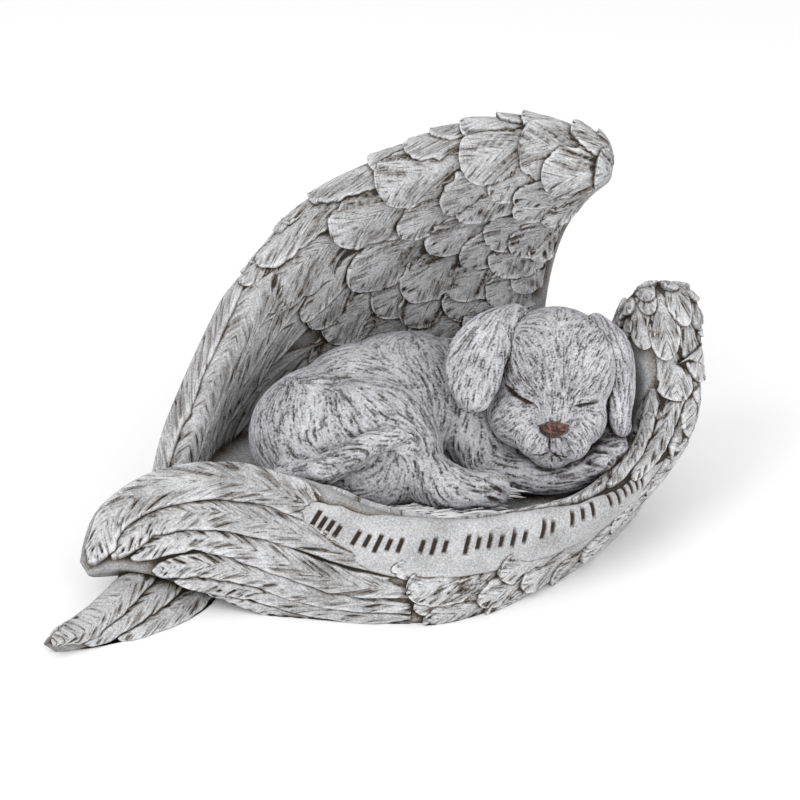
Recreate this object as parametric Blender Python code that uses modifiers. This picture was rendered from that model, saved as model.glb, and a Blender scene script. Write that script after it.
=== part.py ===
"""A pet memorial stone, cast in one piece: a puppy asleep in a nest made by two folded angel wings.

The tall wing stands behind the puppy, curls over at the top and runs down to a tail at the front left.
The low wing makes the front wall and the post on the right, and its long feathers cross over that tail.
+X is to the right, +Y away from the viewer and +Z up. Lengths are written in millimetres and scaled
to metres at the end. The origin is on the flat underside.
"""

import math

import bmesh
import bpy
import numpy as np
from mathutils import Euler, Matrix

MM = 0.001
NAME = "sleeping_puppy_in_wings"

# The whole stone: its width along X, depth along Y and height along Z, and the size its stations are drawn at
WIDTH, DEPTH, HEIGHT = 220.0, 142.0, 140.0
DRAWN_SIZE = (220.0, 142.0, 140.0)

# The puppy from rump to cheek, the length its lumps are drawn at, and the point of the nest it grows from
PUPPY_LENGTH = 126.0
PUPPY_DRAWN_LENGTH = 126.0
PUPPY_SEAT = (20.0, 10.0, 19.0)

# The cast stone
STONE_GREY = (0.56, 0.56, 0.57, 1.0)
STONE_ROUGHNESS = 0.85

# The skin: the puppy's lumps are melted together first, then everything
PUPPY_VOXEL = 1.2
PUPPY_SMOOTHING = 12
WHOLE_VOXEL = 0.8
TRIANGLES = 8700
SHARP_ANGLE = 22.0

# The nest floor between the wings
NEST_END = 0.72
NEST_DEPTH = 0.95
NEST_HEIGHT = 19.0
BELOW_GROUND = 4.0

# Each station of a wing, from its wrist to its feather tips: the middle of the wall at the foot (x, y, z),
# the middle of the leading edge (x, y, z), how late the wall curls over, half the wall and the edge's radius
TALL_WING_STATIONS = [
    ((58, 53, -4), (77, 29, 120), 4.5, 4.5, 11.0),
    ((44, 59, -4), (61, 32, 126), 4.0, 4.5, 12.5),
    ((24, 62, -4), (42, 38, 126), 3.4, 4.5, 12.0),
    ((4, 62, -4), (18, 43, 119), 3.0, 4.5, 11.0),
    ((-17, 58, -4), (-4, 47, 108), 2.8, 4.5, 9.5),
    ((-36, 50, -4), (-25, 47, 94), 2.4, 4.5, 8.0),
    ((-52, 38, -4), (-43, 41, 74), 2.0, 4.5, 6.5),
    ((-64, 22, -4), (-57, 29, 52), 1.6, 4.0, 5.5),
    ((-68, 4, -4), (-67, 14, 33), 1.2, 4.0, 5.0),
    ((-64, -16, -4), (-72, -5, 20), 1.0, 4.0, 4.5),
    ((-56, -42, -4), (-76, -28, 9), 1.0, 4.0, 4.0),
    ((-70, -58, -4), (-84, -48, 6), 1.0, 3.5, 3.5),
    ((-87, -65, -4), (-95, -64, 4), 1.0, 3.0, 3.0),
    ((-100, -70, -4), (-107, -73, 4), 1.0, 2.0, 2.0),
]
LOW_WING_STATIONS = [
    ((58, 57, -4), (64, 53, 26), 1.2, 5.0, 6.0),
    ((70, 54, -4), (82, 48, 43), 1.0, 5.5, 7.5),
    ((79, 46, -4), (93, 37, 66), 0.9, 6.0, 12.0),
    ((82, 34, -4), (98, 26, 66), 0.8, 6.5, 13.5),
    ((80, 19, -4), (101, 15, 46), 0.7, 6.0, 10.0),
    ((73, 4, -4), (95, 4, 33), 0.7, 5.5, 7.0),
    ((66, -10, -4), (84, -10, 27), 0.8, 5.0, 5.0),
    ((56, -25, -4), (70, -26, 25), 1.0, 5.0, 4.5),
    ((42, -40, -4), (47, -37, 25), 1.4, 5.0, 4.5),
    ((22, -50, -4), (24, -41, 25), 2.0, 5.0, 4.5),
    ((0, -50, -4), (0, -39, 28), 2.0, 5.0, 4.5),
    ((-22, -47, -4), (-20, -32, 34), 1.8, 5.0, 4.5),
    ((-42, -45, 1), (-42, -25, 36), 1.6, 4.5, 4.0),
    ((-60, -44, 7), (-62, -21, 34), 1.4, 4.0, 4.0),
    ((-76, -42, 10), (-82, -21, 28), 1.2, 3.5, 3.5),
    ((-88, -43, 11), (-94, -29, 21), 1.0, 3.0, 3.0),
    ((-95, -46, 12), (-98, -42, 14), 1.0, 2.0, 2.5),
]


# The head, and how it is turned about x, y and z in degrees
HEAD_CENTRE = (60.0, 8.0, 60.3)
HEAD_TURN = (-10.0, 6.0, 2.0)

# Feathers: how deep a root is sunk, how far the middle stands above the edges, how deep the lower face lies,
# how late the tip rises, and how far one edge of a flight feather is raised
SINK = 0.8
CROWN = 0.9
UNDERSIDE = 1.8
LIFT_POWER = 1.5
TILT = 0.8

# The smooth band under the rim of the low wing: path (along, around, width) and thickness
BAND_PATH = [
    (0.29, 0.56, 11), (0.36, 0.575, 15), (0.43, 0.59, 15), (0.50, 0.61, 16),
    (0.60, 0.635, 18), (0.68, 0.64, 19), (0.75, 0.62, 15),
]
BAND_LIFT = 0.9

# The row of shallow strokes on the band: the line they stand on (along, around), how many in each group,
# and the width, height, depth and lean of one
STROKE_LINE = [
    (0.728, 0.655), (0.685, 0.65), (0.64, 0.635), (0.60, 0.62), (0.56, 0.605), (0.52, 0.58),
    (0.48, 0.56), (0.448, 0.54), (0.41, 0.525), (0.37, 0.525), (0.335, 0.54),
]
STROKE_GROUPS = (4, 5, 3, 6, 2, 3, 6)
STROKE_GAP = 0.9
STROKE_WIDTH = 1.2
STROKE_HEIGHTS = (6.4, 4.4, 5.0, 4.4, 5.6, 4.4)
STROKE_DEPTH = 0.8
STROKE_LEAN = 12.0

# Covering feathers inside the tall wing, the lowest first: root (along, around), tip (along, around),
# width, lift
TALL_INNER_COVERS = [
    ((0.01, 0.14), (0.09, 0.11), 15, 0.8),
    ((0.08, 0.14), (0.17, 0.11), 16, 0.8),
    ((0.17, 0.14), (0.26, 0.11), 16, 0.8),
    ((0.25, 0.14), (0.34, 0.11), 16, 0.8),
    ((0.03, 0.20), (0.11, 0.165), 15, 1.0),
    ((0.10, 0.20), (0.19, 0.165), 16, 1.0),
    ((0.18, 0.21), (0.27, 0.17), 16, 1.0),
    ((0.25, 0.20), (0.335, 0.16), 16, 1.0),
    ((0.01, 0.27), (0.075, 0.22), 14, 1.4),
    ((0.08, 0.285), (0.137, 0.232), 15, 1.4),
    ((0.13, 0.255), (0.205, 0.198), 16, 1.3),
    ((0.25, 0.262), (0.325, 0.212), 17, 1.4),
    ((0.01, 0.31), (0.035, 0.25), 10, 1.4),
    ((0.035, 0.325), (0.078, 0.272), 13, 1.7),
    ((0.07, 0.335), (0.127, 0.283), 13, 1.6),
    ((0.14, 0.31), (0.205, 0.238), 16, 1.6),
    ((0.29, 0.31), (0.355, 0.252), 14, 1.6),
    ((0.01, 0.36), (0.022, 0.312), 9, 1.8),
    ((0.018, 0.37), (0.052, 0.313), 12, 2.0),
    ((0.05, 0.375), (0.096, 0.32), 14, 2.0),
    ((0.115, 0.365), (0.187, 0.318), 15, 1.9),
    ((0.30, 0.36), (0.374, 0.280), 9, 1.8),
    ((0.20, 0.355), (0.297, 0.292), 18, 2.2),
    ((0.012, 0.42), (0.035, 0.385), 9, 1.8),
    ((0.03, 0.435), (0.075, 0.382), 12, 2.2),
    ((0.105, 0.43), (0.163, 0.378), 13, 2.2),
    ((0.17, 0.42), (0.238, 0.365), 14, 2.2),
    ((0.34, 0.405), (0.475, 0.425), 17, 2.2),
    ((0.04, 0.45), (0.089, 0.41), 11, 2.4),
    ((0.09, 0.475), (0.128, 0.415), 12, 2.4),
    ((0.13, 0.445), (0.186, 0.396), 15, 2.3),
    ((0.25, 0.435), (0.345, 0.412), 18, 2.4),
    ((0.03, 0.475), (0.076, 0.453), 14, 2.6),
    ((0.33, 0.475), (0.463, 0.50), 14, 2.4),
    ((0.205, 0.475), (0.288, 0.455), 17, 2.5),
    ((0.12, 0.49), (0.19, 0.465), 17, 2.6),
    ((0.01, 0.485), (0.03, 0.48), 12, 2.0),
    ((0.41, 0.495), (0.487, 0.512), 11, 2.2),
    ((0.335, 0.495), (0.427, 0.52), 11, 2.2),
    ((0.055, 0.49), (0.127, 0.487), 18, 2.7),
    ((0.41, 0.525), (0.472, 0.54), 10, 2.0),
    ((0.28, 0.50), (0.378, 0.525), 14, 2.5),
    ((0.38, 0.535), (0.457, 0.55), 10, 2.0),
    ((0.35, 0.53), (0.41, 0.54), 11, 2.0),
    ((0.235, 0.515), (0.305, 0.522), 14, 2.4),
    ((0.19, 0.51), (0.26, 0.515), 13, 2.4),
    ((0.30, 0.535), (0.35, 0.545), 12, 2.0),
    ((0.16, 0.53), (0.225, 0.535), 12, 2.2),
    ((0.135, 0.52), (0.195, 0.52), 13, 2.4),
    ((0.10, 0.545), (0.152, 0.545), 12, 2.2),
    ((0.08, 0.53), (0.128, 0.535), 12, 2.4),
    ((0.02, 0.52), (0.07, 0.525), 12, 2.2),
    ((0.01, 0.53), (0.04, 0.535), 11, 1.8),
]

# Rows of covering feathers: (tips: first, last, count), (around at the first tip, at the last), width,
# length, lift, slant
TALL_OUTER_COVERS = [
    ((0.12, 0.42, 7), (0.80, 0.84), 18, 30, 1.2, -0.03),
    ((0.10, 0.44, 8), (0.72, 0.75), 17, 28, 1.5, -0.03),
    ((0.12, 0.46, 8), (0.65, 0.67), 16, 27, 1.8, -0.03),
    ((0.10, 0.48, 9), (0.585, 0.60), 15, 26, 2.0, -0.02),
]
POST_COVERS = [
    ((0.285, 0.290, 3), (0.62, 0.80), 13, 24, 1.4, 0),
    ((0.250, 0.250, 4), (0.63, 0.90), 13, 22, 1.8, 0),
    ((0.210, 0.210, 4), (0.59, 0.86), 13, 20, 2.0, 0),
    ((0.172, 0.172, 4), (0.60, 0.86), 12, 18, 2.0, 0),
]

# Covering feathers outside the low wing and on the front of the post, the lowest first
LOW_OUTER_COVERS = [
    ((0.45, 0.90), (0.52, 0.96), 9, 1.0),
    ((0.38, 0.80), (0.43, 0.90), 9, 1.4),
    ((0.50, 0.86), (0.587, 0.94), 9, 1.4),
    ((0.46, 0.80), (0.53, 0.87), 9, 1.5),
    ((0.51, 0.79), (0.597, 0.87), 9, 1.7),
    ((0.42, 0.76), (0.478, 0.85), 10, 1.8),
    ((0.55, 0.685), (0.622, 0.72), 7, 1.8),
    ((0.52, 0.70), (0.605, 0.80), 13, 2.1),
    ((0.43, 0.675), (0.508, 0.75), 12, 2.2),
    ((0.205, 0.49), (0.25, 0.508), 13, 1.9),
    ((0.205, 0.55), (0.236, 0.60), 9, 2.0),
    ((0.15, 0.455), (0.186, 0.455), 9, 1.8),
    ((0.165, 0.475), (0.212, 0.473), 12, 2.2),
    ((0.18, 0.52), (0.216, 0.562), 10, 2.3),
    ((0.155, 0.56), (0.192, 0.60), 9, 2.0),
]

# Flight feathers: the path from root to tip, each point (along, around, width), and the lift
TALL_FLIGHTS = [
    ([(0.36, 0.05, 18), (0.50, 0.05, 15), (0.60, 0.05, 11), (0.70, 0.05, 9), (0.80, 0.05, 8)], 0.4),
    ([(0.36, 0.13, 18), (0.50, 0.13, 15), (0.60, 0.13, 11), (0.70, 0.13, 9), (0.80, 0.13, 8)], 0.8),
    ([(0.37, 0.21, 18), (0.50, 0.21, 15), (0.60, 0.21, 11), (0.70, 0.21, 9), (0.80, 0.21, 8)], 1.2),
    ([(0.38, 0.29, 17), (0.50, 0.29, 15), (0.60, 0.29, 11), (0.70, 0.29, 9), (0.80, 0.29, 8)], 1.6),
    ([(0.40, 0.37, 16), (0.50, 0.37, 15), (0.60, 0.37, 11), (0.70, 0.37, 9), (0.80, 0.37, 8)], 1.9),
    ([(0.42, 0.46, 15), (0.52, 0.46, 14), (0.62, 0.46, 11), (0.72, 0.46, 9), (0.80, 0.46, 8)], 2.2),
    ([(0.44, 0.54, 12), (0.55, 0.54, 11), (0.65, 0.54, 10), (0.75, 0.54, 9), (0.82, 0.54, 8)], 2.0),
    ([(0.74, 0.09, 9), (0.84, 0.10, 10), (0.93, 0.12, 7)], 0.5),
    ([(0.74, 0.25, 9), (0.86, 0.26, 10), (0.965, 0.27, 6)], 1.1),
    ([(0.74, 0.41, 9), (0.86, 0.42, 10), (0.94, 0.43, 8), (0.99, 0.45, 5)], 1.7),
]
TALL_BACK_FLIGHTS = [
    ([(0.36, 0.92, 20), (0.50, 0.92, 18), (0.65, 0.92, 11), (0.80, 0.92, 10), (0.92, 0.92, 7)], 0.4),
    ([(0.38, 0.80, 20), (0.50, 0.80, 18), (0.65, 0.80, 12), (0.80, 0.80, 10), (0.95, 0.80, 7)], 0.9),
    ([(0.40, 0.69, 20), (0.50, 0.69, 17), (0.65, 0.69, 12), (0.80, 0.69, 10), (0.97, 0.69, 6)], 1.4),
    ([(0.42, 0.59, 16), (0.52, 0.59, 15), (0.65, 0.59, 12), (0.80, 0.58, 10), (0.985, 0.57, 5)], 1.9),
]
LOW_INNER_FLIGHTS = [
    ([(0.52, 0.41, 8), (0.58, 0.42, 8), (0.64, 0.42, 7), (0.70, 0.41, 5)], 0.8),
    ([(0.40, 0.41, 8), (0.46, 0.42, 8), (0.52, 0.42, 7), (0.58, 0.41, 5)], 0.8),
    ([(0.22, 0.40, 9), (0.29, 0.41, 9), (0.36, 0.42, 8), (0.44, 0.42, 6)], 1.0),
    ([(0.56, 0.46, 7), (0.62, 0.47, 7), (0.68, 0.46, 6), (0.73, 0.45, 4)], 1.0),
    ([(0.42, 0.46, 7), (0.48, 0.465, 7), (0.54, 0.46, 6), (0.60, 0.45, 4)], 1.0),
    ([(0.26, 0.45, 8), (0.33, 0.455, 8), (0.40, 0.455, 7), (0.46, 0.45, 5)], 1.2),
]
LOW_FLIGHTS = [
    ([(0.24, 0.60, 8), (0.28, 0.60, 8), (0.314, 0.64, 7)], 1.8),
    ([(0.26, 0.62, 8), (0.31, 0.65, 8), (0.342, 0.72, 7)], 1.8),
    ([(0.30, 0.66, 9), (0.35, 0.74, 9), (0.388, 0.84, 8)], 1.7),
    ([(0.22, 0.88, 11), (0.32, 0.89, 11), (0.41, 0.95, 9)], 1.2),
    ([(0.22, 0.77, 11), (0.31, 0.78, 11), (0.38, 0.85, 9)], 1.4),
    ([(0.22, 0.66, 11), (0.30, 0.67, 11), (0.36, 0.73, 9)], 1.6),
    ([(0.60, 0.965, 9), (0.70, 0.96, 9), (0.77, 0.965, 8), (0.84, 0.99, 6)], 0.4),
    ([(0.60, 0.92, 9), (0.70, 0.912, 9), (0.78, 0.918, 8), (0.83, 0.945, 7), (0.88, 0.985, 5)], 0.8),
    ([(0.60, 0.86, 9), (0.70, 0.865, 9), (0.78, 0.862, 9), (0.85, 0.895, 8), (0.91, 0.975, 6)], 1.2),
    ([(0.60, 0.79, 9), (0.68, 0.80, 10), (0.76, 0.785, 11), (0.83, 0.78, 10), (0.88, 0.82, 9),
      (0.935, 0.93, 6)], 1.6),
    ([(0.62, 0.70, 9), (0.72, 0.69, 11), (0.80, 0.685, 12), (0.86, 0.705, 12), (0.91, 0.76, 10),
      (0.96, 0.92, 6)], 2.0),
    ([(0.66, 0.60, 14), (0.74, 0.585, 13), (0.82, 0.585, 13), (0.90, 0.62, 13), (0.955, 0.68, 11),
      (0.992, 0.86, 6)], 2.5),
]


def in_the_stone(points):
    """Points drawn for DRAWN_SIZE, moved to where they are in a stone of this width, depth and height."""
    return np.asarray(points, float) * (WIDTH, DEPTH, HEIGHT) / np.array(DRAWN_SIZE)


def smooth_curve(at, values):
    """A smooth curve through values at the places at, as a function of place."""
    values = np.asarray(values, float)
    slope = np.gradient(values, at, axis=0)

    def curve(place):
        place = np.clip(place, at[0], at[-1])
        i = np.clip(np.searchsorted(at, place, side="right") - 1, 0, len(at) - 2)
        span = at[i + 1] - at[i]
        s = (place - at[i]) / span
        if values.ndim > 1:
            s, span = s[..., None], span[..., None]
        start = (2 * s**3 - 3 * s**2 + 1) * values[i] + (s**3 - 2 * s**2 + s) * span * slope[i]
        end = (3 * s**2 - 2 * s**3) * values[i + 1] + (s**3 - s**2) * span * slope[i + 1]
        return start + end

    return curve


class Wing:
    """A folded wing as a closed wall. along runs from the wrist, 0, to the tips, 1.
    around runs up the inner face from the foot, 0, over the leading edge, 0.5, and down the outer face, 1."""

    EDGE_START, EDGE_END = 0.44, 0.56
    END_LENGTH = 0.035
    STEP = 1e-4

    def __init__(self, stations, inner_side):
        """inner_side is 1 when the inner face lies to the left of the wing as seen from its tips, else -1."""
        self.inner_side = inner_side
        foot, lead, curl, wall, edge = (np.array(v, float) for v in zip(*stations))
        foot, lead = in_the_stone(foot), in_the_stone(lead)
        steps = np.linalg.norm(np.diff((foot + lead) / 2, axis=0), axis=1)
        at = np.concatenate([[0], np.cumsum(steps)]) / steps.sum()
        self.length = steps.sum()
        self.foot, self.lead = smooth_curve(at, foot), smooth_curve(at, lead)
        self.curl, self.wall, self.edge = (smooth_curve(at, v) for v in (curl, wall, edge))

    def middle(self, along, up):
        """The middle of the wall. It rises steadily and curls over late."""
        foot, lead = self.foot(along), self.lead(along)
        share = np.stack([up ** self.curl(along)] * 2 + [up], axis=-1)
        return foot + (lead - foot) * share

    def across_wall(self, along, up):
        """The unit vector through the wall, towards the inner face, and the one up the wall."""
        ahead, behind = np.clip(along + self.STEP, 0, 1), np.clip(along - self.STEP, 0, 1)
        above, below = np.clip(up + self.STEP, 0.02, 1), np.clip(up - self.STEP, 0.02, 1)
        forward = self.middle(ahead, up) - self.middle(behind, up)
        upward = self.middle(along, above) - self.middle(along, np.minimum(below, above - self.STEP))
        through = np.cross(forward, upward) * self.inner_side
        return unit(through), unit(upward)

    def surface(self, along, around):
        along, around = np.broadcast_arrays(np.asarray(along, float), np.asarray(around, float))
        face = np.minimum(around, 1 - around)
        up = np.clip(face / self.EDGE_START, 0, 1)
        turn = np.clip((around - self.EDGE_START) / (self.EDGE_END - self.EDGE_START), 0, 1) * math.pi
        through, upward = self.across_wall(along, up)
        end = np.clip(np.minimum(along, 1 - along) / self.END_LENGTH, 0, 1)
        edge = self.edge(along)
        swell = smooth_step((up - 0.45) / 0.55)
        half = (self.wall(along) * (1 - swell) + edge * swell) * np.sqrt(np.clip(1 - (1 - end) ** 2, 0, 1))
        half = np.maximum(half, 0.01)[..., None]
        turn = turn[..., None]
        return self.middle(along, up) + half * (np.cos(turn) * through + np.sin(turn) * upward)

    def frame(self, along, around, step=2e-3):
        """The surface's point, its outward normal, and how it moves with along and with around."""
        d_along = (self.surface(along + step, around) - self.surface(along - step, around)) / (2 * step)
        d_around = (self.surface(along, around + step) - self.surface(along, around - step)) / (2 * step)
        normal = unit(np.cross(d_along, d_around)) * self.inner_side
        return self.surface(along, around), normal, d_along, d_around


def unit(vectors):
    return vectors / np.maximum(np.linalg.norm(vectors, axis=-1, keepdims=True), 1e-12)


def smooth_step(x):
    x = np.clip(x, 0, 1)
    return x * x * (3 - 2 * x)


def mesh_object(name, bm):
    mesh = bpy.data.meshes.new(name)
    bm.to_mesh(mesh)
    bm.free()
    obj = bpy.data.objects.new(name, mesh)
    bpy.context.scene.collection.objects.link(obj)
    return obj


def bent_grid(name, columns, rows, place):
    """A grid primitive whose points are moved to place(u, v), with u and v from 0 to 1."""
    bm = bmesh.new()
    bmesh.ops.create_grid(bm, x_segments=columns, y_segments=rows, size=0.5)
    flat = np.array([v.co for v in bm.verts])
    for vert, point in zip(bm.verts, place(flat[:, 0] + 0.5, flat[:, 1] + 0.5)):
        vert.co = point
    return mesh_object(name, bm)


def close(obj, weld=0.05):
    """Welds the ends of a bent wall and fills its open foot, with the faces pointing out."""
    bm = bmesh.new()
    bm.from_mesh(obj.data)
    bmesh.ops.remove_doubles(bm, verts=bm.verts, dist=weld)
    bmesh.ops.holes_fill(bm, edges=[e for e in bm.edges if e.is_boundary])
    bmesh.ops.triangulate(bm, faces=[f for f in bm.faces if len(f.verts) > 4])
    bmesh.ops.recalc_face_normals(bm, faces=bm.faces)
    bm.to_mesh(obj.data)
    bm.free()


def wing_wall(name, wing, columns, rows):
    wall = bent_grid(name, columns, rows, wing.surface)
    close(wall)
    return wall


def feather_outline(v, base, round_from):
    """How wide a feather is along its length: narrower at the root and rounded off at the tip."""
    root = base + (1 - base) * smooth_step(v / 0.45)
    tip = np.sqrt(np.clip(1 - (np.clip(v - round_from, 0, 1) / (1 - round_from)) ** 2, 0, 1))
    return np.maximum(root * tip, 0.03)


def feather(wing, path, lift, round_from=0.6, base=0.6, crown=CROWN, tilt=0.0, early=False, across=6, rows=8):
    """A feather lying on the wing along path, from root to tip, each point (along, around, width).
    It is a closed leaf: one face shows, and the other is sunk in the wall. tilt raises its right edge, as
    seen from the root; an early feather comes out of the wall near its root, others only at the tip."""
    shaft = smooth_curve(np.linspace(0, 1, len(path)), path)
    columns = across + 3

    def place(u, v):
        step = np.rint(u * columns)
        side = np.interp(step, [0, across, across + 1, across + 2, columns], [-1, 1, 0.85, -0.85, -1])
        here = shaft(v)
        ahead = shaft(np.minimum(v + 0.01, 1)) - shaft(np.maximum(v - 0.01, 0))
        _, normal, d_along, d_around = wing.frame(here[:, 0], here[:, 1])
        sideways = np.cross(normal, unit(d_along * ahead[:, :1] + d_around * ahead[:, 1:2]))
        half = here[:, 2] / 2 * feather_outline(v, base, round_from) * side
        spot = here[:, :2] + half[:, None] * steps_for(sideways, d_along, d_around)
        point, normal, _, _ = wing.frame(spot[:, 0], np.clip(spot[:, 1], 0.003, 0.997))
        rise = (lift + SINK) * (smooth_step(v / 0.15) if early else v**LIFT_POWER) - SINK
        upper = rise + tilt * side + crown * (1 - side**2)
        height = np.where((step > across) & (step < columns), -UNDERSIDE, upper)
        return point + normal * height[:, None]

    leaf = bent_grid("feather", columns, rows, place)
    close(leaf)
    return leaf


def steps_for(direction, d_along, d_around):
    """The steps in along and around that move a point on the surface by one unit of direction."""
    pairs = ((d_along, d_along), (d_along, d_around), (d_around, d_around))
    aa, ab, bb = (np.sum(p * q, -1) for p, q in pairs)
    da, db = np.sum(d_along * direction, -1), np.sum(d_around * direction, -1)
    scale = np.maximum(aa * bb - ab * ab, 1e-3)
    return np.stack([(da * bb - db * ab) / scale, (db * aa - da * ab) / scale], -1)


def covers(wing, spots):
    """Covering feathers one by one, each (root, tip, width, lift)."""
    leaves = []
    for root, tip, width, lift in spots:
        middle = [(r + t) / 2 for r, t in zip(root, tip)]
        leaves.append(feather(wing, [(*root, width), (*middle, width), (*tip, width)], lift))
    return leaves


def cover_row(wing, seed, tips, around, width, length, lift, slant):
    """A row of covering feathers. tips is (first, last, count) along the wing; around runs from the first
    tip to the last one; slant is how far in around each root lies from its tip."""
    chance = np.random.default_rng(seed)
    first, last, count = tips
    spots = []
    for i in range(count):
        share = i / max(count - 1, 1)
        jitter = chance.uniform(-1, 1, 4)
        tip_along = first + (last - first) * share + 0.006 * jitter[0]
        tip_around = around[0] + (around[1] - around[0]) * share + 0.006 * jitter[1]
        long = length * (1 + 0.12 * jitter[2]) / wing.length
        root = (tip_along - long, tip_around + slant)
        spots.append((root, (tip_along, tip_around), width * (1 + 0.1 * jitter[3]), lift))
    return covers(wing, spots)


def cover_rows(wing, rows):
    leaves = []
    for seed, row in enumerate(rows):
        leaves += cover_row(wing, seed, *row)
    return leaves


def flights(wing, quills, tilt):
    """Long flight feathers, each (path, lift)."""
    return [feather(wing, path, lift, 0.82, 0.8, tilt=tilt, early=True, rows=24) for path, lift in quills]


def band(wing):
    """The smooth strip along the rim of the low wing."""
    return feather(wing, BAND_PATH, BAND_LIFT, 0.9, 0.4, crown=0.2, early=True, rows=32)


def strokes(wing):
    """Cutters for the row of short leaning strokes along the band, which stand for no letters."""
    line = smooth_curve(np.linspace(0, 1, len(STROKE_LINE)), STROKE_LINE)
    places, at = [], 0.0
    for group in STROKE_GROUPS:
        places += [at + i for i in range(group)]
        at = places[-1] + 1 + STROKE_GAP
    cutters = []
    for i, place in enumerate(places):
        along, around = line(np.array([place / places[-1]]))[0]
        point, normal, d_along, _ = (v[0] for v in wing.frame(np.array([along]), np.array([around])))
        flat = unit(-d_along)
        steep = np.cross(normal, flat)
        lean = math.radians(STROKE_LEAN)
        upright = steep * math.cos(lean) + flat * math.sin(lean)
        middle = point + normal * (BAND_LIFT + 1.5 - STROKE_DEPTH)
        size = (STROKE_WIDTH, STROKE_HEIGHTS[i % len(STROKE_HEIGHTS)], 3.0)
        columns = [axis * length for axis, length in zip((flat, upright, normal), size)]
        matrix = Matrix([[c[row] for c in columns] + [middle[row]] for row in range(3)] + [[0, 0, 0, 1]])
        bm = bmesh.new()
        bmesh.ops.create_cube(bm, size=1)
        bmesh.ops.transform(bm, matrix=matrix, verts=bm.verts)
        bmesh.ops.recalc_face_normals(bm, faces=bm.faces)
        cutters.append(mesh_object("stroke", bm))
    return cutters


def blob(centre, radii, turn=(0, 0, 0)):
    """An egg-shaped lump of the puppy. turn is in degrees about x, y and z."""
    bm = bmesh.new()
    bmesh.ops.create_uvsphere(bm, u_segments=32, v_segments=20, radius=1)
    obj = mesh_object("blob", bm)
    turned = Euler([math.radians(a) for a in turn]).to_matrix().to_4x4()
    obj.data.transform(Matrix.Translation(centre) @ turned @ Matrix.Diagonal((*radii, 1)))
    return obj


def limb(points, radii, lumps=7):
    """A leg or a tail: a row of lumps along a smooth curve, close enough to run together."""
    at = np.linspace(0, 1, len(points))
    path, radius = smooth_curve(at, points), smooth_curve(at, radii)
    places = np.linspace(0, 1, lumps * (len(points) - 1) + 1)
    return [blob(path(p), [float(radius(p))] * 3) for p in places]


def joined(name, objects):
    with bpy.context.temp_override(
        active_object=objects[0], selected_editable_objects=objects, selected_objects=objects
    ):
        bpy.ops.object.join()
    objects[0].name = name
    return objects[0]


def bake_modifiers(obj):
    graph = bpy.context.evaluated_depsgraph_get()
    mesh = bpy.data.meshes.new_from_object(obj.evaluated_get(graph))
    obj.modifiers.clear()
    obj.data = mesh


def nest_floor(tall, low):
    """The floor fills the ground between the feet of the two wings."""

    def place(u, v):
        back, front = tall.foot(u * NEST_END), low.foot(u * NEST_END)
        return (back + (front - back) * NEST_DEPTH * v[:, None]) * (1, 1, 0) + (0, 0, NEST_HEIGHT)

    floor = bent_grid("nest", 40, 12, place)
    bm = bmesh.new()
    bm.from_mesh(floor.data)
    deepen = bmesh.ops.extrude_face_region(bm, geom=bm.faces)
    lower = [v for v in deepen["geom"] if isinstance(v, bmesh.types.BMVert)]
    bmesh.ops.translate(bm, verts=lower, vec=(0, 0, -NEST_HEIGHT - BELOW_GROUND))
    bmesh.ops.recalc_face_normals(bm, faces=bm.faces)
    bm.to_mesh(floor.data)
    bm.free()
    return floor


def flap(points, half_widths, thickness, facing, lumps=8):
    """An ear: a row of flattened lumps along a smooth curve, with their flat side turned to facing."""
    at = np.linspace(0, 1, len(points))
    path, width = smooth_curve(at, points), smooth_curve(at, half_widths)
    leaves = []
    for place in np.linspace(0, 1, lumps * (len(points) - 1) + 1):
        ahead = unit(path(min(place + 0.01, 1)) - path(max(place - 0.01, 0)))
        aside = unit(np.cross(facing, ahead))
        half = float(width(place))
        axes = [ahead * min(half, 4.0), aside * half, np.cross(ahead, aside) * thickness]
        leaf = blob((0, 0, 0), (1, 1, 1))
        rows = [[axis[i] for axis in axes] + [path(place)[i]] for i in range(3)]
        leaf.data.transform(Matrix(rows + [[0, 0, 0, 1]]))
        leaves.append(leaf)
    return leaves


def puppy_body():
    lumps = [
        blob((-14, 11, 32), (31, 28, 24)),
        blob((-3, 19, 37), (28, 27, 23)),
        blob((9, 23, 40), (28, 26, 22)),
        blob((26, 25, 38), (28, 22, 21)),
        blob((-3, 2, 36), (25, 21, 22)),
        blob((8, -5, 34), (14, 14, 17)),
        blob((0, -8, 30), (22, 14, 14)),
        blob((38, 13, 33), (20, 16, 18)),
        blob((60, 12, 32), (22, 16, 14)),
        blob((76, 6, 36), (7, 7, 6)),
    ]
    hind_leg = [(13, -10, 30), (21, -17, 29), (30, -20, 28.5), (38, -20, 29)]
    tail = [(-30, -13, 29), (-21, -20, 35), (-11, -20, 41), (-3, -19, 45.5), (6, -16, 47.5)]
    near_leg = [(36, 2, 27), (47, -5, 26), (60, -8, 26.5), (68, -8, 29), (75, -7, 32)]
    far_leg = [(72, 12, 30), (78, 4, 32), (81, -2, 33)]
    lumps += limb(hind_leg, [10, 8.5, 7, 6.5]) + limb(tail, [6, 5.5, 4.8, 4.2, 3.4])
    lumps += limb(near_leg, [8, 6.5, 6, 6, 6]) + limb(far_leg, [9, 7, 5])
    return lumps


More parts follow.
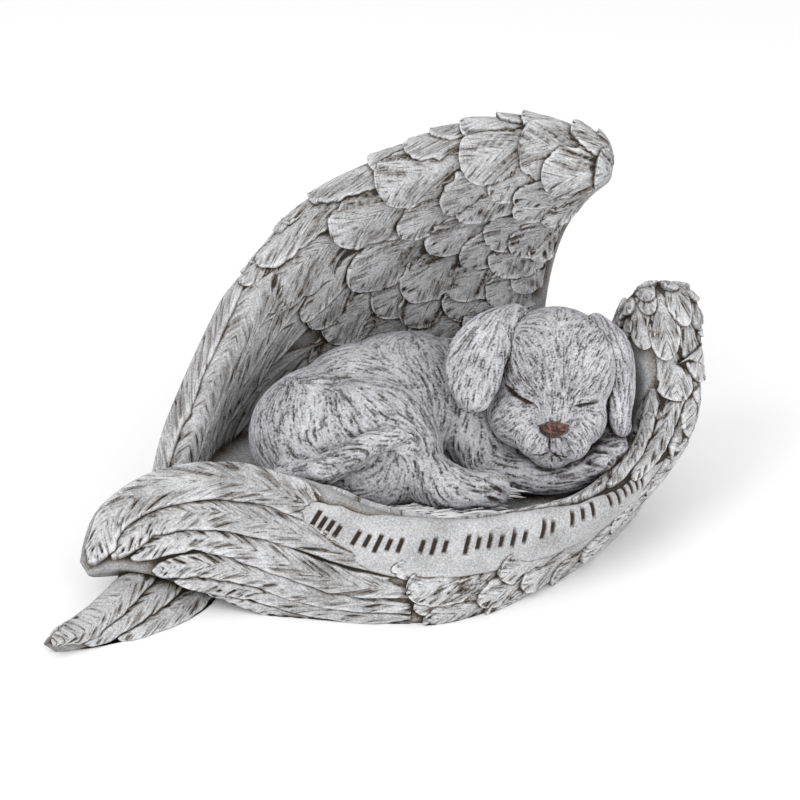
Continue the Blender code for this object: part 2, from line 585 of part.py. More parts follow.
def puppy_head():
    lumps = [
        blob((0, 0, 0), (21, 21, 20.5)),
        blob((-1, -6, -8), (18.5, 15, 14)),
        blob((-9, -4, -15), (13, 14, 13)),
        blob((7, -5, -15), (12, 13, 12)),
        blob((0, -11, -17), (13, 12, 11)),
        blob((0, -15, -9), (8.5, 9.5, 7.5)),
        blob((-5, -15, -20), (8, 8.5, 7.5)),
        blob((5, -15, -20), (8, 8.5, 7.5)),
        blob((0, -12, -26), (8, 8, 5.5)),
        blob((-11.5, -14, -6.5), (5, 4, 3.5)),
        blob((10.5, -13.5, -7.5), (5, 4, 3.5)),
        blob((-0.5, -24.5, -13), (5.2, 3.2, 2.8)),
    ]
    left_ear = [(-13, 5, 15), (-22, -3, 11.5), (-28, -8.5, 5), (-28.5, -11, -3), (-28, -12, -10)]
    right_ear = [(12, 1, 15.5), (20.5, -0.5, 8), (23.2, -2.5, -4), (23.2, -4, -13), (24.5, -5, -18)]
    lumps += flap(left_ear, [6, 9, 10.3, 9.5, 6], 2.6, (-0.35, -0.85, 0.4))
    lumps += flap(right_ear, [5, 6.5, 7, 6, 3.5], 3.2, (0.75, -0.6, 0.3))
    turn = Euler([math.radians(a) for a in HEAD_TURN]).to_matrix().to_4x4()
    for lump in lumps:
        lump.data.transform(Matrix.Translation(HEAD_CENTRE) @ turn)
    return lumps


def seated(lumps):
    """Moves lumps drawn for PUPPY_DRAWN_LENGTH to where they are in the stone, at the puppy's own size."""
    seat = Matrix.Translation(in_the_stone(PUPPY_SEAT)[:2].tolist() + [NEST_HEIGHT])
    size = Matrix.Scale(PUPPY_LENGTH / PUPPY_DRAWN_LENGTH, 4)
    for lump in lumps:
        lump.data.transform(seat @ size @ Matrix.Translation([-c for c in PUPPY_SEAT]))
    return lumps


def clear_scene():
    for obj in list(bpy.data.objects):
        bpy.data.objects.remove(obj)


def largest_shell(obj):
    """Leaves only the biggest connected surface of a mesh."""
    bm = bmesh.new()
    bm.from_mesh(obj.data)
    left, shells = set(bm.verts), []
    while left:
        shell, edge = set(), {left.pop()}
        while edge:
            shell |= edge
            edge = {e.other_vert(v) for v in edge for e in v.link_edges} - shell
        left -= shell
        shells.append(shell)
    keep = max(shells, key=len)
    bmesh.ops.delete(bm, geom=[v for v in bm.verts if v not in keep], context="VERTS")
    bm.to_mesh(obj.data)
    bm.free()


def fuse(obj, voxel, smoothing=0):
    """Melts the overlapping lumps of obj into one skin."""
    remesh = obj.modifiers.new("fuse", "REMESH")
    remesh.mode = "VOXEL"
    remesh.voxel_size = voxel
    if smoothing:
        smooth = obj.modifiers.new("smooth", "SMOOTH")
        smooth.factor = 0.5
        smooth.iterations = int(smoothing)
    bake_modifiers(obj)
    largest_shell(obj)


def thin(obj, triangles):
    decimate = obj.modifiers.new("thin", "DECIMATE")
    obj.data.calc_loop_triangles()
    decimate.ratio = min(triangles / len(obj.data.loop_triangles), 1)
    bake_modifiers(obj)


def engrave(obj, cutter):
    boolean = obj.modifiers.new("engrave", "BOOLEAN")
    boolean.object = cutter
    boolean.operation = "DIFFERENCE"
    boolean.solver = "EXACT"
    bake_modifiers(obj)
    bpy.data.objects.remove(cutter)


def cut_flat(obj):
    """Cuts the piece off level with the ground and closes it."""
    bm = bmesh.new()
    bm.from_mesh(obj.data)
    everything = bm.verts[:] + bm.edges[:] + bm.faces[:]
    bmesh.ops.bisect_plane(bm, geom=everything, plane_co=(0, 0, 0), plane_no=(0, 0, 1), clear_inner=True)
    bmesh.ops.holes_fill(bm, edges=[e for e in bm.edges if e.is_boundary])
    bmesh.ops.triangulate(bm, faces=bm.faces)
    bm.to_mesh(obj.data)
    bm.free()
    obj.data.shade_smooth()
    obj.data.set_sharp_from_angle(angle=math.radians(SHARP_ANGLE))


def put_away(obj, name):
    """Puts obj in a collection of its own."""
    group = bpy.data.collections.new(name)
    bpy.context.scene.collection.children.link(group)
    bpy.context.scene.collection.objects.unlink(obj)
    group.objects.link(obj)


def stone():
    material = bpy.data.materials.new("cast_stone")
    material.use_nodes = True
    shader = material.node_tree.nodes["Principled BSDF"]
    shader.inputs["Base Color"].default_value = STONE_GREY
    shader.inputs["Roughness"].default_value = STONE_ROUGHNESS
    return material


def main():
    clear_scene()
    tall, low = Wing(TALL_WING_STATIONS, -1), Wing(LOW_WING_STATIONS, 1)
    puppy = joined("puppy", seated(puppy_body() + puppy_head()))
    fuse(puppy, PUPPY_VOXEL, PUPPY_SMOOTHING)
    parts = [puppy, wing_wall("tall_wing", tall, 160, 80), wing_wall("low_wing", low, 160, 60)]
    parts.append(nest_floor(tall, low))
    parts += flights(tall, TALL_FLIGHTS, TILT) + flights(tall, TALL_BACK_FLIGHTS, -TILT)
    parts += flights(low, LOW_FLIGHTS + LOW_INNER_FLIGHTS, TILT) + [band(low)]
    parts += covers(tall, TALL_INNER_COVERS) + cover_rows(tall, TALL_OUTER_COVERS)
    parts += covers(low, LOW_OUTER_COVERS) + cover_rows(low, POST_COVERS)
    whole = joined(NAME, parts)
    fuse(whole, WHOLE_VOXEL)
    thin(whole, TRIANGLES)
    engrave(whole, joined("strokes", strokes(low)))
    cut_flat(whole)
    largest_shell(whole)
    whole.data.transform(Matrix.Scale(MM, 4))
    put_away(whole, NAME)
    whole.data.materials.append(stone())


main()
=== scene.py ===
"""The looks of a cast-stone pet memorial: a puppy asleep in the nest of two folded angel wings.

The forms are those of the solid, worked finer: feathers with shafts and barbs, fur, a carved nest, a face.
Lengths are in millimetres, with +X to the right, +Y away from the viewer and +Z up, and each finished piece
is scaled to metres. A wing is measured along from its wrist, 0, to its tips, 1, and around from the foot of
its inner face, 0, over the leading edge, 0.5, to the foot of its outer face, 1.
"""

import math

import bmesh
import bpy
import numpy as np
from mathutils import Euler, Matrix, Vector
from mathutils.bvhtree import BVHTree


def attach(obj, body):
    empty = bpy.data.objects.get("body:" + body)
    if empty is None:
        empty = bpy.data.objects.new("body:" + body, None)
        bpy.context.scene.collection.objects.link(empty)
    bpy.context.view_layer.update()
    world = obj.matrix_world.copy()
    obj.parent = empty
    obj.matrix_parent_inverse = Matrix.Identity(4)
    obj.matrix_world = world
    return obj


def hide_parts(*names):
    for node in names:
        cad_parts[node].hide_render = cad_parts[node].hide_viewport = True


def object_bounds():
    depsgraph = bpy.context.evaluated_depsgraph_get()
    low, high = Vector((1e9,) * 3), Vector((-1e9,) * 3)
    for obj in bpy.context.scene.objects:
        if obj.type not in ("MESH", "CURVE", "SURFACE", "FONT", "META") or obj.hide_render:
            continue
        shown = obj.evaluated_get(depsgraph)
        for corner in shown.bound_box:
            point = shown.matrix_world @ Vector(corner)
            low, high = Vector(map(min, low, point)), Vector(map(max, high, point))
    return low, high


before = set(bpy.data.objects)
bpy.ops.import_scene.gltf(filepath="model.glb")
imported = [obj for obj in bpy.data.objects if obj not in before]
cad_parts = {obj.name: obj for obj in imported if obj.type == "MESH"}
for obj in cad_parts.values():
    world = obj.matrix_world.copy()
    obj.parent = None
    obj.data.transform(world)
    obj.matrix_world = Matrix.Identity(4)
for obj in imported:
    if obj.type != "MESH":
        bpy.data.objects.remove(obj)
CAD_BOX = [list(corner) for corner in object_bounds()]
NODE = "sleeping_puppy_in_wings"
MM = 0.001

# The view of the photograph
CAMERA_TARGET = (7.4, 0.0, 52.0)
CAMERA_ELEVATION = 30.0
CAMERA_DISTANCE = 750.0
CAMERA_LENS = 100.0

# Each station of a wing, from its wrist to its feather tips: the middle of the wall at the foot (x, y, z),
# the middle of the leading edge (x, y, z), how late the wall curls over, half the wall and the edge's radius
TALL_WING_STATIONS = [
    ((58, 53, -4), (77, 29, 120), 4.5, 4.5, 11.0),
    ((44, 59, -4), (61, 32, 126), 4.0, 4.5, 12.5),
    ((24, 62, -4), (42, 38, 126), 3.4, 4.5, 12.0),
    ((4, 62, -4), (18, 43, 119), 3.0, 4.5, 11.0),
    ((-17, 58, -4), (-4, 47, 108), 2.8, 4.5, 9.5),
    ((-36, 50, -4), (-25, 47, 94), 2.4, 4.5, 8.0),
    ((-52, 38, -4), (-43, 41, 74), 2.0, 4.5, 6.5),
    ((-64, 22, -4), (-57, 29, 52), 1.6, 4.0, 5.5),
    ((-68, 4, -4), (-67, 14, 33), 1.2, 4.0, 5.0),
    ((-64, -16, -4), (-72, -5, 20), 1.0, 4.0, 4.5),
    ((-56, -42, -4), (-76, -28, 9), 1.0, 4.0, 4.0),
    ((-70, -58, -4), (-84, -48, 6), 1.0, 3.5, 3.5),
    ((-87, -65, -4), (-95, -64, 4), 1.0, 3.0, 3.0),
    ((-100, -70, -4), (-107, -73, 4), 1.0, 2.0, 2.0),
]
LOW_WING_STATIONS = [
    ((58, 57, -4), (64, 53, 26), 1.2, 5.0, 6.0),
    ((70, 54, -4), (82, 48, 43), 1.0, 5.5, 7.5),
    ((79, 46, -4), (93, 37, 66), 0.9, 6.0, 12.0),
    ((82, 34, -4), (98, 26, 66), 0.8, 6.5, 13.5),
    ((80, 19, -4), (101, 15, 46), 0.7, 6.0, 10.0),
    ((73, 4, -4), (95, 4, 33), 0.7, 5.5, 7.0),
    ((66, -10, -4), (84, -10, 27), 0.8, 5.0, 5.0),
    ((56, -25, -4), (70, -26, 25), 1.0, 5.0, 4.5),
    ((42, -40, -4), (47, -37, 25), 1.4, 5.0, 4.5),
    ((22, -50, -4), (24, -41, 25), 2.0, 5.0, 4.5),
    ((0, -50, -4), (0, -39, 28), 2.0, 5.0, 4.5),
    ((-22, -47, -4), (-20, -32, 34), 1.8, 5.0, 4.5),
    ((-42, -45, 1), (-42, -25, 36), 1.6, 4.5, 4.0),
    ((-60, -44, 7), (-62, -21, 34), 1.4, 4.0, 4.0),
    ((-76, -42, 10), (-82, -21, 28), 1.2, 3.5, 3.5),
    ((-88, -43, 11), (-94, -29, 21), 1.0, 3.0, 3.0),
    ((-95, -46, 12), (-98, -42, 14), 1.0, 2.0, 2.5),
]

# The nest floor between the wings
NEST_END = 0.72
NEST_DEPTH = 0.95
NEST_HEIGHT = 19.0

# The head, and how it is turned about x, y and z in degrees
HEAD_CENTRE = (60.0, 8.0, 60.3)
HEAD_TURN = (-10.0, 6.0, 2.0)

# Feathers: how deep a root is sunk, how deep the lower face lies, and how much wider and longer the
# covering feathers are worked than the solid's
SINK = 0.8
UNDERSIDE = 1.8
WIDER, LONGER = 1.34, 1.35


def smooth_curve(at, values):
    """A smooth curve through values at the places at, as a function of place."""
    values = np.asarray(values, float)
    slope = np.gradient(values, at, axis=0)

    def curve(place):
        place = np.clip(place, at[0], at[-1])
        i = np.clip(np.searchsorted(at, place, side="right") - 1, 0, len(at) - 2)
        span = at[i + 1] - at[i]
        s = (place - at[i]) / span
        if values.ndim > 1:
            s, span = s[..., None], span[..., None]
        start = (2 * s**3 - 3 * s**2 + 1) * values[i] + (s**3 - 2 * s**2 + s) * span * slope[i]
        end = (3 * s**2 - 2 * s**3) * values[i + 1] + (s**3 - s**2) * span * slope[i + 1]
        return start + end

    return curve


def even_curve(values):
    """A smooth curve through values that are spaced evenly from 0 to 1."""
    return smooth_curve(np.linspace(0, 1, len(values)), values)


def unit(vectors):
    return vectors / np.maximum(np.linalg.norm(vectors, axis=-1, keepdims=True), 1e-12)


def smooth_step(x):
    x = np.clip(x, 0, 1)
    return x * x * (3 - 2 * x)


class Wing:
    """A folded wing as a closed wall, from a table of stations."""

    EDGE_START, EDGE_END = 0.44, 0.56
    RELIEF = 0.95
    END_LENGTH = 0.035
    STEP = 1e-4

    def __init__(self, stations, inner_side):
        """inner_side is 1 when the inner face lies to the left of the wing as seen from its tips, else -1."""
        self.inner_side = inner_side
        foot, lead, curl, wall, edge = (np.array(v, float) for v in zip(*stations))
        steps = np.linalg.norm(np.diff((foot + lead) / 2, axis=0), axis=1)
        at = np.concatenate([[0], np.cumsum(steps)]) / steps.sum()
        self.length = steps.sum()
        self.foot, self.lead = smooth_curve(at, foot), smooth_curve(at, lead)
        self.curl, self.wall, self.edge = (smooth_curve(at, v) for v in (curl, wall, edge))

    def middle(self, along, up):
        """The middle of the wall. It rises steadily and curls over late."""
        foot, lead = self.foot(along), self.lead(along)
        share = np.stack([up ** self.curl(along)] * 2 + [up], axis=-1)
        return foot + (lead - foot) * share

    def across_wall(self, along, up):
        """The unit vector through the wall, towards the inner face, and the one up the wall."""
        ahead, behind = np.clip(along + self.STEP, 0, 1), np.clip(along - self.STEP, 0, 1)
        above, below = np.clip(up + self.STEP, 0.02, 1), np.clip(up - self.STEP, 0.02, 1)
        forward = self.middle(ahead, up) - self.middle(behind, up)
        upward = self.middle(along, above) - self.middle(along, np.minimum(below, above - self.STEP))
        through = np.cross(forward, upward) * self.inner_side
        return unit(through), unit(upward)

    def surface(self, along, around):
        along, around = np.broadcast_arrays(np.asarray(along, float), np.asarray(around, float))
        face = np.minimum(around, 1 - around)
        up = np.clip(face / self.EDGE_START, 0, 1)
        turn = np.clip((around - self.EDGE_START) / (self.EDGE_END - self.EDGE_START), 0, 1) * math.pi
        through, upward = self.across_wall(along, up)
        end = np.clip(np.minimum(along, 1 - along) / self.END_LENGTH, 0, 1)
        edge = self.edge(along)
        swell = smooth_step((up - 0.45) / 0.55)
        half = (self.wall(along) * (1 - swell) + edge * swell) * np.sqrt(np.clip(1 - (1 - end) ** 2, 0, 1))
        half = np.maximum(half, 0.01)[..., None]
        turn = turn[..., None]
        return self.middle(along, up) + half * (np.cos(turn) * through + np.sin(turn) * upward)

    def frame(self, along, around, step=2e-3):
        """The surface's point, its outward normal, and how it moves with along and with around."""
        d_along = (self.surface(along + step, around) - self.surface(along - step, around)) / (2 * step)
        d_around = (self.surface(along, around + step) - self.surface(along, around - step)) / (2 * step)
        normal = unit(np.cross(d_along, d_around)) * self.inner_side
        return self.surface(along, around), normal, d_along, d_around


def store(mesh, name, values):
    keep = mesh.attributes.get(name) or mesh.attributes.new(name, "FLOAT", "POINT")
    keep.data.foreach_set("value", values.astype(np.float32))


def mesh_points(mesh):
    """The points of a mesh, and the normals there."""
    found = []
    for name in ("co", "normal"):
        values = np.empty(len(mesh.vertices) * 3, np.float32)
        mesh.vertices.foreach_get(name, values)
        found.append(values.reshape(-1, 3).astype(float))
    return found


def move_points(mesh, points):
    mesh.vertices.foreach_set("co", points.astype(np.float32).ravel())
    mesh.update()


def mesh_triangles(mesh):
    """The three points of each triangle, by their numbers."""
    mesh.calc_loop_triangles()
    corners = np.empty(len(mesh.loop_triangles) * 3, np.int32)
    mesh.loop_triangles.foreach_get("vertices", corners)
    return corners.reshape(-1, 3)


def write_back(bm, mesh):
    """Puts an edited form back in its mesh, with its largest faces in triangles."""
    bmesh.ops.triangulate(bm, faces=[f for f in bm.faces if len(f.verts) > 4])
    bm.to_mesh(mesh)
    bm.free()


class Carving:
    """Closed forms gathered for one piece: points, faces, how deep each point is cut (0 to 1), and where it
    lies along its barbs (mm, mm), for the grain."""

    def __init__(self):
        self.points, self.cuts, self.grains, self.faces, self.count = [], [], [], [], 0

    def add_rings(self, rings, cuts, grain):
        """A closed form from rings of points, rings[row, column], with both ends capped."""
        rows, columns = rings.shape[:2]
        number = np.arange(rows * columns).reshape(rows, columns) + self.count
        beside = np.roll(number, -1, axis=1)
        quads = np.stack([number[:-1], beside[:-1], beside[1:], number[1:]], axis=-1).reshape(-1, 4)
        self.faces += quads.tolist()
        self.faces += [number[0, ::-1].tolist(), number[-1].tolist()]
        self.points.append(rings.reshape(-1, 3))
        self.cuts.append(np.asarray(cuts, float).reshape(-1))
        self.grains.append(np.stack([np.broadcast_to(g, (rows, columns)) for g in grain], -1).reshape(-1, 2))
        self.count += rows * columns

    def piece(self, name):
        """The mesh object, with faces outwards and its cuts kept in an attribute."""
        mesh = bpy.data.meshes.new(name)
        mesh.from_pydata(np.concatenate(self.points), [], self.faces)
        store(mesh, "cut", np.concatenate(self.cuts))
        for kept, values in zip(("grain_along", "grain_out"), np.concatenate(self.grains).T):
            store(mesh, kept, values)
        bm = bmesh.new()
        bm.from_mesh(mesh)
        bmesh.ops.recalc_face_normals(bm, faces=bm.faces)
        write_back(bm, mesh)
        return linked(name, mesh)


def linked(name, mesh):
    obj = bpy.data.objects.new(name, mesh)
    bpy.context.scene.collection.objects.link(obj)
    return obj


# How a kind of feather is carved: rows of points along it, the angle of its barbs to the shaft, the
# spacing and depth in mm of the slits between them, and the height of the shaft, a raised rim and the middle
COVER_LOOK = dict(rows=38, angle=24.0, spacing=1.5, depth=0.9, shaft=0.0, rim=0.35, crown=0.5)
SMALL_LOOK = dict(rows=28, angle=26.0, spacing=1.8, depth=0.45, shaft=0.0, rim=0.2, crown=0.7)
FLIGHT_LOOK = dict(rows=150, angle=23.0, spacing=2.1, depth=0.9, shaft=0.25, rim=0.35, crown=0.8)
TAIL_LOOK = dict(rows=130, angle=22.0, spacing=1.9, depth=0.8, shaft=0.2, rim=0.15, crown=0.8)
BAND_LOOK = dict(rows=520, angle=20.0, spacing=2.0, depth=0.0, shaft=0.0, rim=0.0, crown=0.9)
SIDES = np.linspace(-1, 1, 27) * (1.2 - 0.2 * np.linspace(-1, 1, 27) ** 2)
UNDER_SIDES = np.array([0.88, 0.3, -0.3, -0.88])
SLIT_WIDTH = 0.4
BAND_CUT = -0.12

# How far a feather leans from its middle to its edge in mm, the share by which its edges are ragged, how
# far they are worn down in mm, and how pale its tip is
COVER_TILT, FLIGHT_TILT = 0.35, 0.8
RAGGED, WORN, TIP_PALE = 0.05, 0.3, 0.25


def feather_outline(v, base, round_from):
    """How wide a feather is along its length: narrower at the root and rounded off at the tip."""
    root = base + (1 - base) * smooth_step(v / 0.45)
    tip = np.sqrt(np.clip(1 - (np.clip(v - round_from, 0, 1) / (1 - round_from)) ** 2, 0, 1))
    return np.maximum(root * tip, 0.03)


def slits(chance, along, side, half, look):
    """How deep each point is cut, 0 to 1: short slits of unlike depth between the barbs, which run outwards
    from the shaft and on towards the tip."""
    angle = math.radians(look["angle"])
    cut = np.zeros(along.shape)
    for half_feather in (side < 0, side >= 0):
        share = np.abs(side)
        across = half * share * math.cos(angle) - along * math.sin(angle)
        for place in np.arange(across.min(), across.max(), look["spacing"]):
            place += look["spacing"] * chance.uniform(-0.45, 0.45)
            begin = chance.uniform(0.0, 0.5)
            end = begin + chance.uniform(0.35, 0.9)
            strength = chance.uniform(0.0, 1.0) ** 0.7
            line = np.exp(-(((across - place) / SLIT_WIDTH) ** 2))
            window = smooth_step((share - begin) / 0.12) * smooth_step((end - share) / 0.12)
            cut = np.where(half_feather, np.maximum(cut, strength * line * window), cut)
    return cut


def steps_for(direction, d_along, d_around):
    """The steps in along and around that move a point on the surface by one unit of direction."""
    pairs = ((d_along, d_along), (d_along, d_around), (d_around, d_around))
    aa, ab, bb = (np.sum(p * q, -1) for p, q in pairs)
    da, db = np.sum(d_along * direction, -1), np.sum(d_around * direction, -1)
    scale = np.maximum(aa * bb - ab * ab, 1e-3)
    return np.stack([(da * bb - db * ab) / scale, (db * aa - da * ab) / scale], -1)


def carve_feather(carving, wing, path, lift, look, seed, round_from=0.6, base=0.6, tilt=0.0, early=False):
    """A feather on the wing along path, from root to tip, each point (along, around, width). It is a closed
    leaf: one face shows, the other is sunk in the wall."""
    chance = np.random.default_rng(seed)
    shaft = even_curve(path)
    rows = look["rows"]
    spine = shaft(np.linspace(0, 1, 40))
    length = np.linalg.norm(np.diff(wing.surface(spine[:, 0], spine[:, 1]), axis=0), axis=1).sum()
    lift = lift * wing.RELIEF
    v = 1 - (1 - np.linspace(0, 1, rows)[:, None]) ** 1.15
    side = np.concatenate([SIDES, UNDER_SIDES])[None, :]
    under = np.arange(side.shape[1]) >= len(SIDES)
    here = shaft(v)
    ahead = shaft(np.minimum(v + 0.01, 1)) - shaft(np.maximum(v - 0.01, 0))
    _, normal, d_along, d_around = wing.frame(here[..., 0], here[..., 1])
    sideways = np.cross(normal, unit(d_along * ahead[..., :1] + d_around * ahead[..., 1:2]))
    half = here[..., 2] / 2 * feather_outline(v, base, round_from)
    ragged = 1 + RAGGED * np.interp(v, np.linspace(0, 1, 24), chance.standard_normal(24)) * np.abs(side) ** 3
    steps = steps_for(sideways, d_along, d_around)
    spot = here[..., :2] + (half * side * ragged)[..., None] * steps
    spot = np.clip(spot, (0.006, 0.003), (0.998, 0.997))
    point, normal, _, _ = wing.frame(spot[..., 0], spot[..., 1])
    rise = (lift + SINK) * (smooth_step(v / 0.15) if early else v**1.3) - SINK
    along = v * length
    cut = slits(chance, *np.broadcast_arrays(along, side, half), look)
    away = half * np.abs(side)
    relief = look["shaft"] * (np.exp(-((away / 0.55) ** 2)) - 0.7 * np.exp(-(((away - 1.1) / 0.5) ** 2)))
    rim = np.exp(-(((half - away - 0.6) / 0.55) ** 2))
    relief = relief + look["rim"] * rim
    worn = WORN * smooth_step((np.abs(side) - 0.85) / 0.15) ** 2
    upper = rise + tilt * side + look["crown"] * (1 - side**2) + relief - look["depth"] * cut - worn
    height = np.where(under, -UNDERSIDE, upper)
    kept = cut - look["rim"] * 0.8 * rim - TIP_PALE * v**3
    kept = np.where(under, 0, kept if look["depth"] else np.full_like(kept, BAND_CUT))
    grain = (along + 37.0 * seed, half * side) if look["depth"] else (along * 0, along * 0)
    carving.add_rings(point + normal * height[..., None], kept, grain)


def placed(covers):
    """Covering feathers from a table in thousandths of the wing, each (root, tip, width, lift)."""
    return [((a / 1000, b / 1000), (c / 1000, d / 1000), width, lift) for a, b, c, d, width, lift in covers]


def carve_covers(carving, wing, look, seed, spots):
    """Covering feathers one by one, each (root, tip, width, lift)."""
    for i, (root, tip, width, lift) in enumerate(spots):
        root = [max(tip[0] + (root[0] - tip[0]) * LONGER, 0.008), tip[1] + (root[1] - tip[1]) * LONGER]
        middle = [(r + t) / 2 for r, t in zip(root, tip)]
        path = [(*place, width * WIDER) for place in (root, middle, tip)]
        tilt = COVER_TILT if i % 2 else -COVER_TILT
        carve_feather(carving, wing, path, lift, look, seed * 100 + i, 0.55, 0.9, tilt)


def row_spots(wing, seed, tips, around, width, length, lift, slant):
    """A row of covering feathers. tips is (first, last, count) along the wing; around runs from the first
    tip to the last one; slant is how far in around each root lies from its tip."""
    chance = np.random.default_rng(seed)
    first, last, count = tips
    spots = []
    for i in range(count):
        share = i / max(count - 1, 1)
        jitter = chance.uniform(-1, 1, 4)
        tip_along = first + (last - first) * share + 0.006 * jitter[0]
        tip_around = around[0] + (around[1] - around[0]) * share + 0.006 * jitter[1]
        long = length * (1 + 0.12 * jitter[2]) / wing.length
        root = (tip_along - long, tip_around + slant)
        spots.append((root, (tip_along, tip_around), width * (1 + 0.1 * jitter[3]), lift))
    return spots


def carve_rows(carving, wing, look, seed, rows):
    for i, row in enumerate(rows):
        carve_covers(carving, wing, look, seed + i, row_spots(wing, i, *row))


def carve_wall(carving, wing, rows, columns, cut):
    """The wing's wall from its wrist to its tips, closed under the foot."""
    along = np.linspace(0.0005, 0.9995, rows)[:, None]
    around = np.linspace(0.0, 1.0, columns)[None, :]
    rings = wing.surface(*np.broadcast_arrays(along, around))
    carving.add_rings(rings, np.full((rows, columns), cut), (along * 0, along * 0))


# Covering feathers inside the tall wing, the lowest first: the root along and around, the tip along and
# around, in thousandths of the wing, the width and the lift
TALL_INNER_COVERS = [
    (10, 140, 90, 110, 18, 0.8), (80, 140, 170, 110, 18, 0.8), (170, 140, 260, 110, 18, 0.8),
    (250, 140, 350, 110, 18, 0.8), (30, 200, 110, 165, 18, 1.0), (100, 200, 190, 165, 19, 1.0),
    (180, 210, 270, 170, 19, 1.0), (250, 200, 345, 160, 19, 1.0), (70, 260, 135, 200, 17, 1.1),
    (170, 290, 250, 225, 17, 1.2), (10, 270, 75, 220, 14, 1.4), (80, 285, 137, 232, 15, 1.4),
    (130, 255, 205, 198, 16, 1.3), (250, 262, 325, 212, 17, 1.4), (10, 310, 35, 250, 10, 1.4),
    (35, 325, 78, 272, 13, 1.7), (70, 335, 127, 283, 13, 1.6), (140, 310, 205, 238, 16, 1.6),
    (290, 310, 355, 252, 14, 1.6), (10, 360, 22, 312, 9, 1.8), (18, 370, 52, 313, 12, 2.0),
    (50, 375, 96, 320, 14, 2.0), (115, 365, 187, 318, 15, 1.9), (300, 360, 374, 280, 9, 1.8),
    (200, 355, 297, 292, 18, 2.2), (12, 420, 35, 385, 9, 1.8), (30, 435, 75, 382, 12, 2.2),
    (105, 430, 163, 378, 13, 2.2), (170, 420, 238, 365, 14, 2.2), (340, 405, 475, 425, 17, 2.2),
    (40, 450, 89, 410, 11, 2.4), (90, 475, 128, 415, 12, 2.4), (130, 445, 186, 396, 15, 2.3),
    (250, 435, 345, 412, 18, 2.4), (30, 475, 76, 453, 14, 2.6), (330, 475, 463, 500, 14, 2.4),
    (205, 475, 288, 455, 17, 2.5), (120, 490, 190, 465, 17, 2.6), (10, 485, 30, 480, 12, 2.0),
    (410, 495, 487, 512, 11, 2.2), (335, 495, 427, 520, 11, 2.2), (55, 490, 127, 487, 18, 2.7),
    (410, 525, 472, 540, 10, 2.0), (280, 500, 378, 525, 14, 2.5), (380, 535, 457, 550, 10, 2.0),
    (350, 530, 410, 540, 11, 2.0), (235, 515, 305, 522, 14, 2.4), (190, 510, 260, 515, 13, 2.4),
    (300, 535, 350, 545, 12, 2.0), (160, 530, 225, 535, 12, 2.2), (135, 520, 195, 520, 13, 2.4),
    (100, 545, 152, 545, 12, 2.2), (80, 530, 128, 535, 12, 2.4), (20, 520, 70, 525, 12, 2.2),
    (10, 530, 40, 535, 11, 1.8),
]

# Rows of covering feathers: (tips: first, last, count), (around at the first tip, at the last), width,
# length, lift, slant
TALL_OUTER_COVERS = [
    ((0.12, 0.42, 7), (0.80, 0.84), 18, 30, 1.2, -0.03),
    ((0.10, 0.44, 8), (0.72, 0.75), 17, 28, 1.5, -0.03),
    ((0.12, 0.46, 8), (0.65, 0.67), 16, 27, 1.8, -0.03),
    ((0.10, 0.48, 9), (0.585, 0.60), 15, 26, 2.0, -0.02),
]
POST_COVERS = [
    ((0.285, 0.290, 3), (0.62, 0.80), 13, 24, 1.4, 0),
    ((0.250, 0.250, 4), (0.63, 0.90), 13, 22, 1.8, 0),
    ((0.210, 0.210, 4), (0.59, 0.86), 13, 20, 2.0, 0),
    ((0.172, 0.172, 4), (0.60, 0.86), 12, 18, 2.0, 0),
]

# Covering feathers outside the low wing and on the front of the post, the lowest first
LOW_OUTER_COVERS = [
    (450, 900, 520, 960, 9, 1.0), (380, 800, 430, 900, 9, 1.4), (500, 860, 587, 940, 9, 1.4),
    (460, 800, 530, 870, 9, 1.5), (510, 790, 597, 870, 9, 1.7), (420, 760, 478, 850, 10, 1.8),
    (550, 685, 622, 720, 7, 1.8), (520, 700, 605, 800, 13, 2.1), (430, 675, 508, 750, 12, 2.2),
]
POST_FRONT = [
    (150, 500, 192, 505, 8, 1.7), (150, 540, 188, 550, 8, 1.7), (222, 535, 262, 550, 8, 1.7),
    (205, 485, 251, 500, 10.5, 1.9), (205, 550, 238, 600, 8, 2.0), (155, 465, 189, 452, 7.5, 1.8),
    (185, 510, 225, 530, 8.5, 2.1), (168, 485, 208, 474, 9.5, 2.2), (160, 560, 195, 595, 8, 2.0),
]
POST_CAP = [
    (150, 435, 170, 440, 5, 1.6), (150, 475, 174, 470, 5, 1.9), (150, 530, 192, 530, 6, 2.0),
    (130, 430, 154, 435, 5, 1.7), (130, 455, 160, 455, 5, 2.0), (130, 480, 166, 475, 5, 2.2),
    (130, 505, 163, 500, 5, 2.3), (130, 530, 170, 525, 5, 2.3), (130, 560, 168, 560, 6, 2.0),
    (115, 450, 143, 450, 6, 1.9), (115, 490, 147, 485, 6, 2.2), (115, 530, 147, 525, 6, 2.2),
]

def level(around, alongs, widths, lift):
    """A flight feather that keeps one height on the wing."""
    return [(along, around, width) for along, width in zip(alongs, widths)], lift


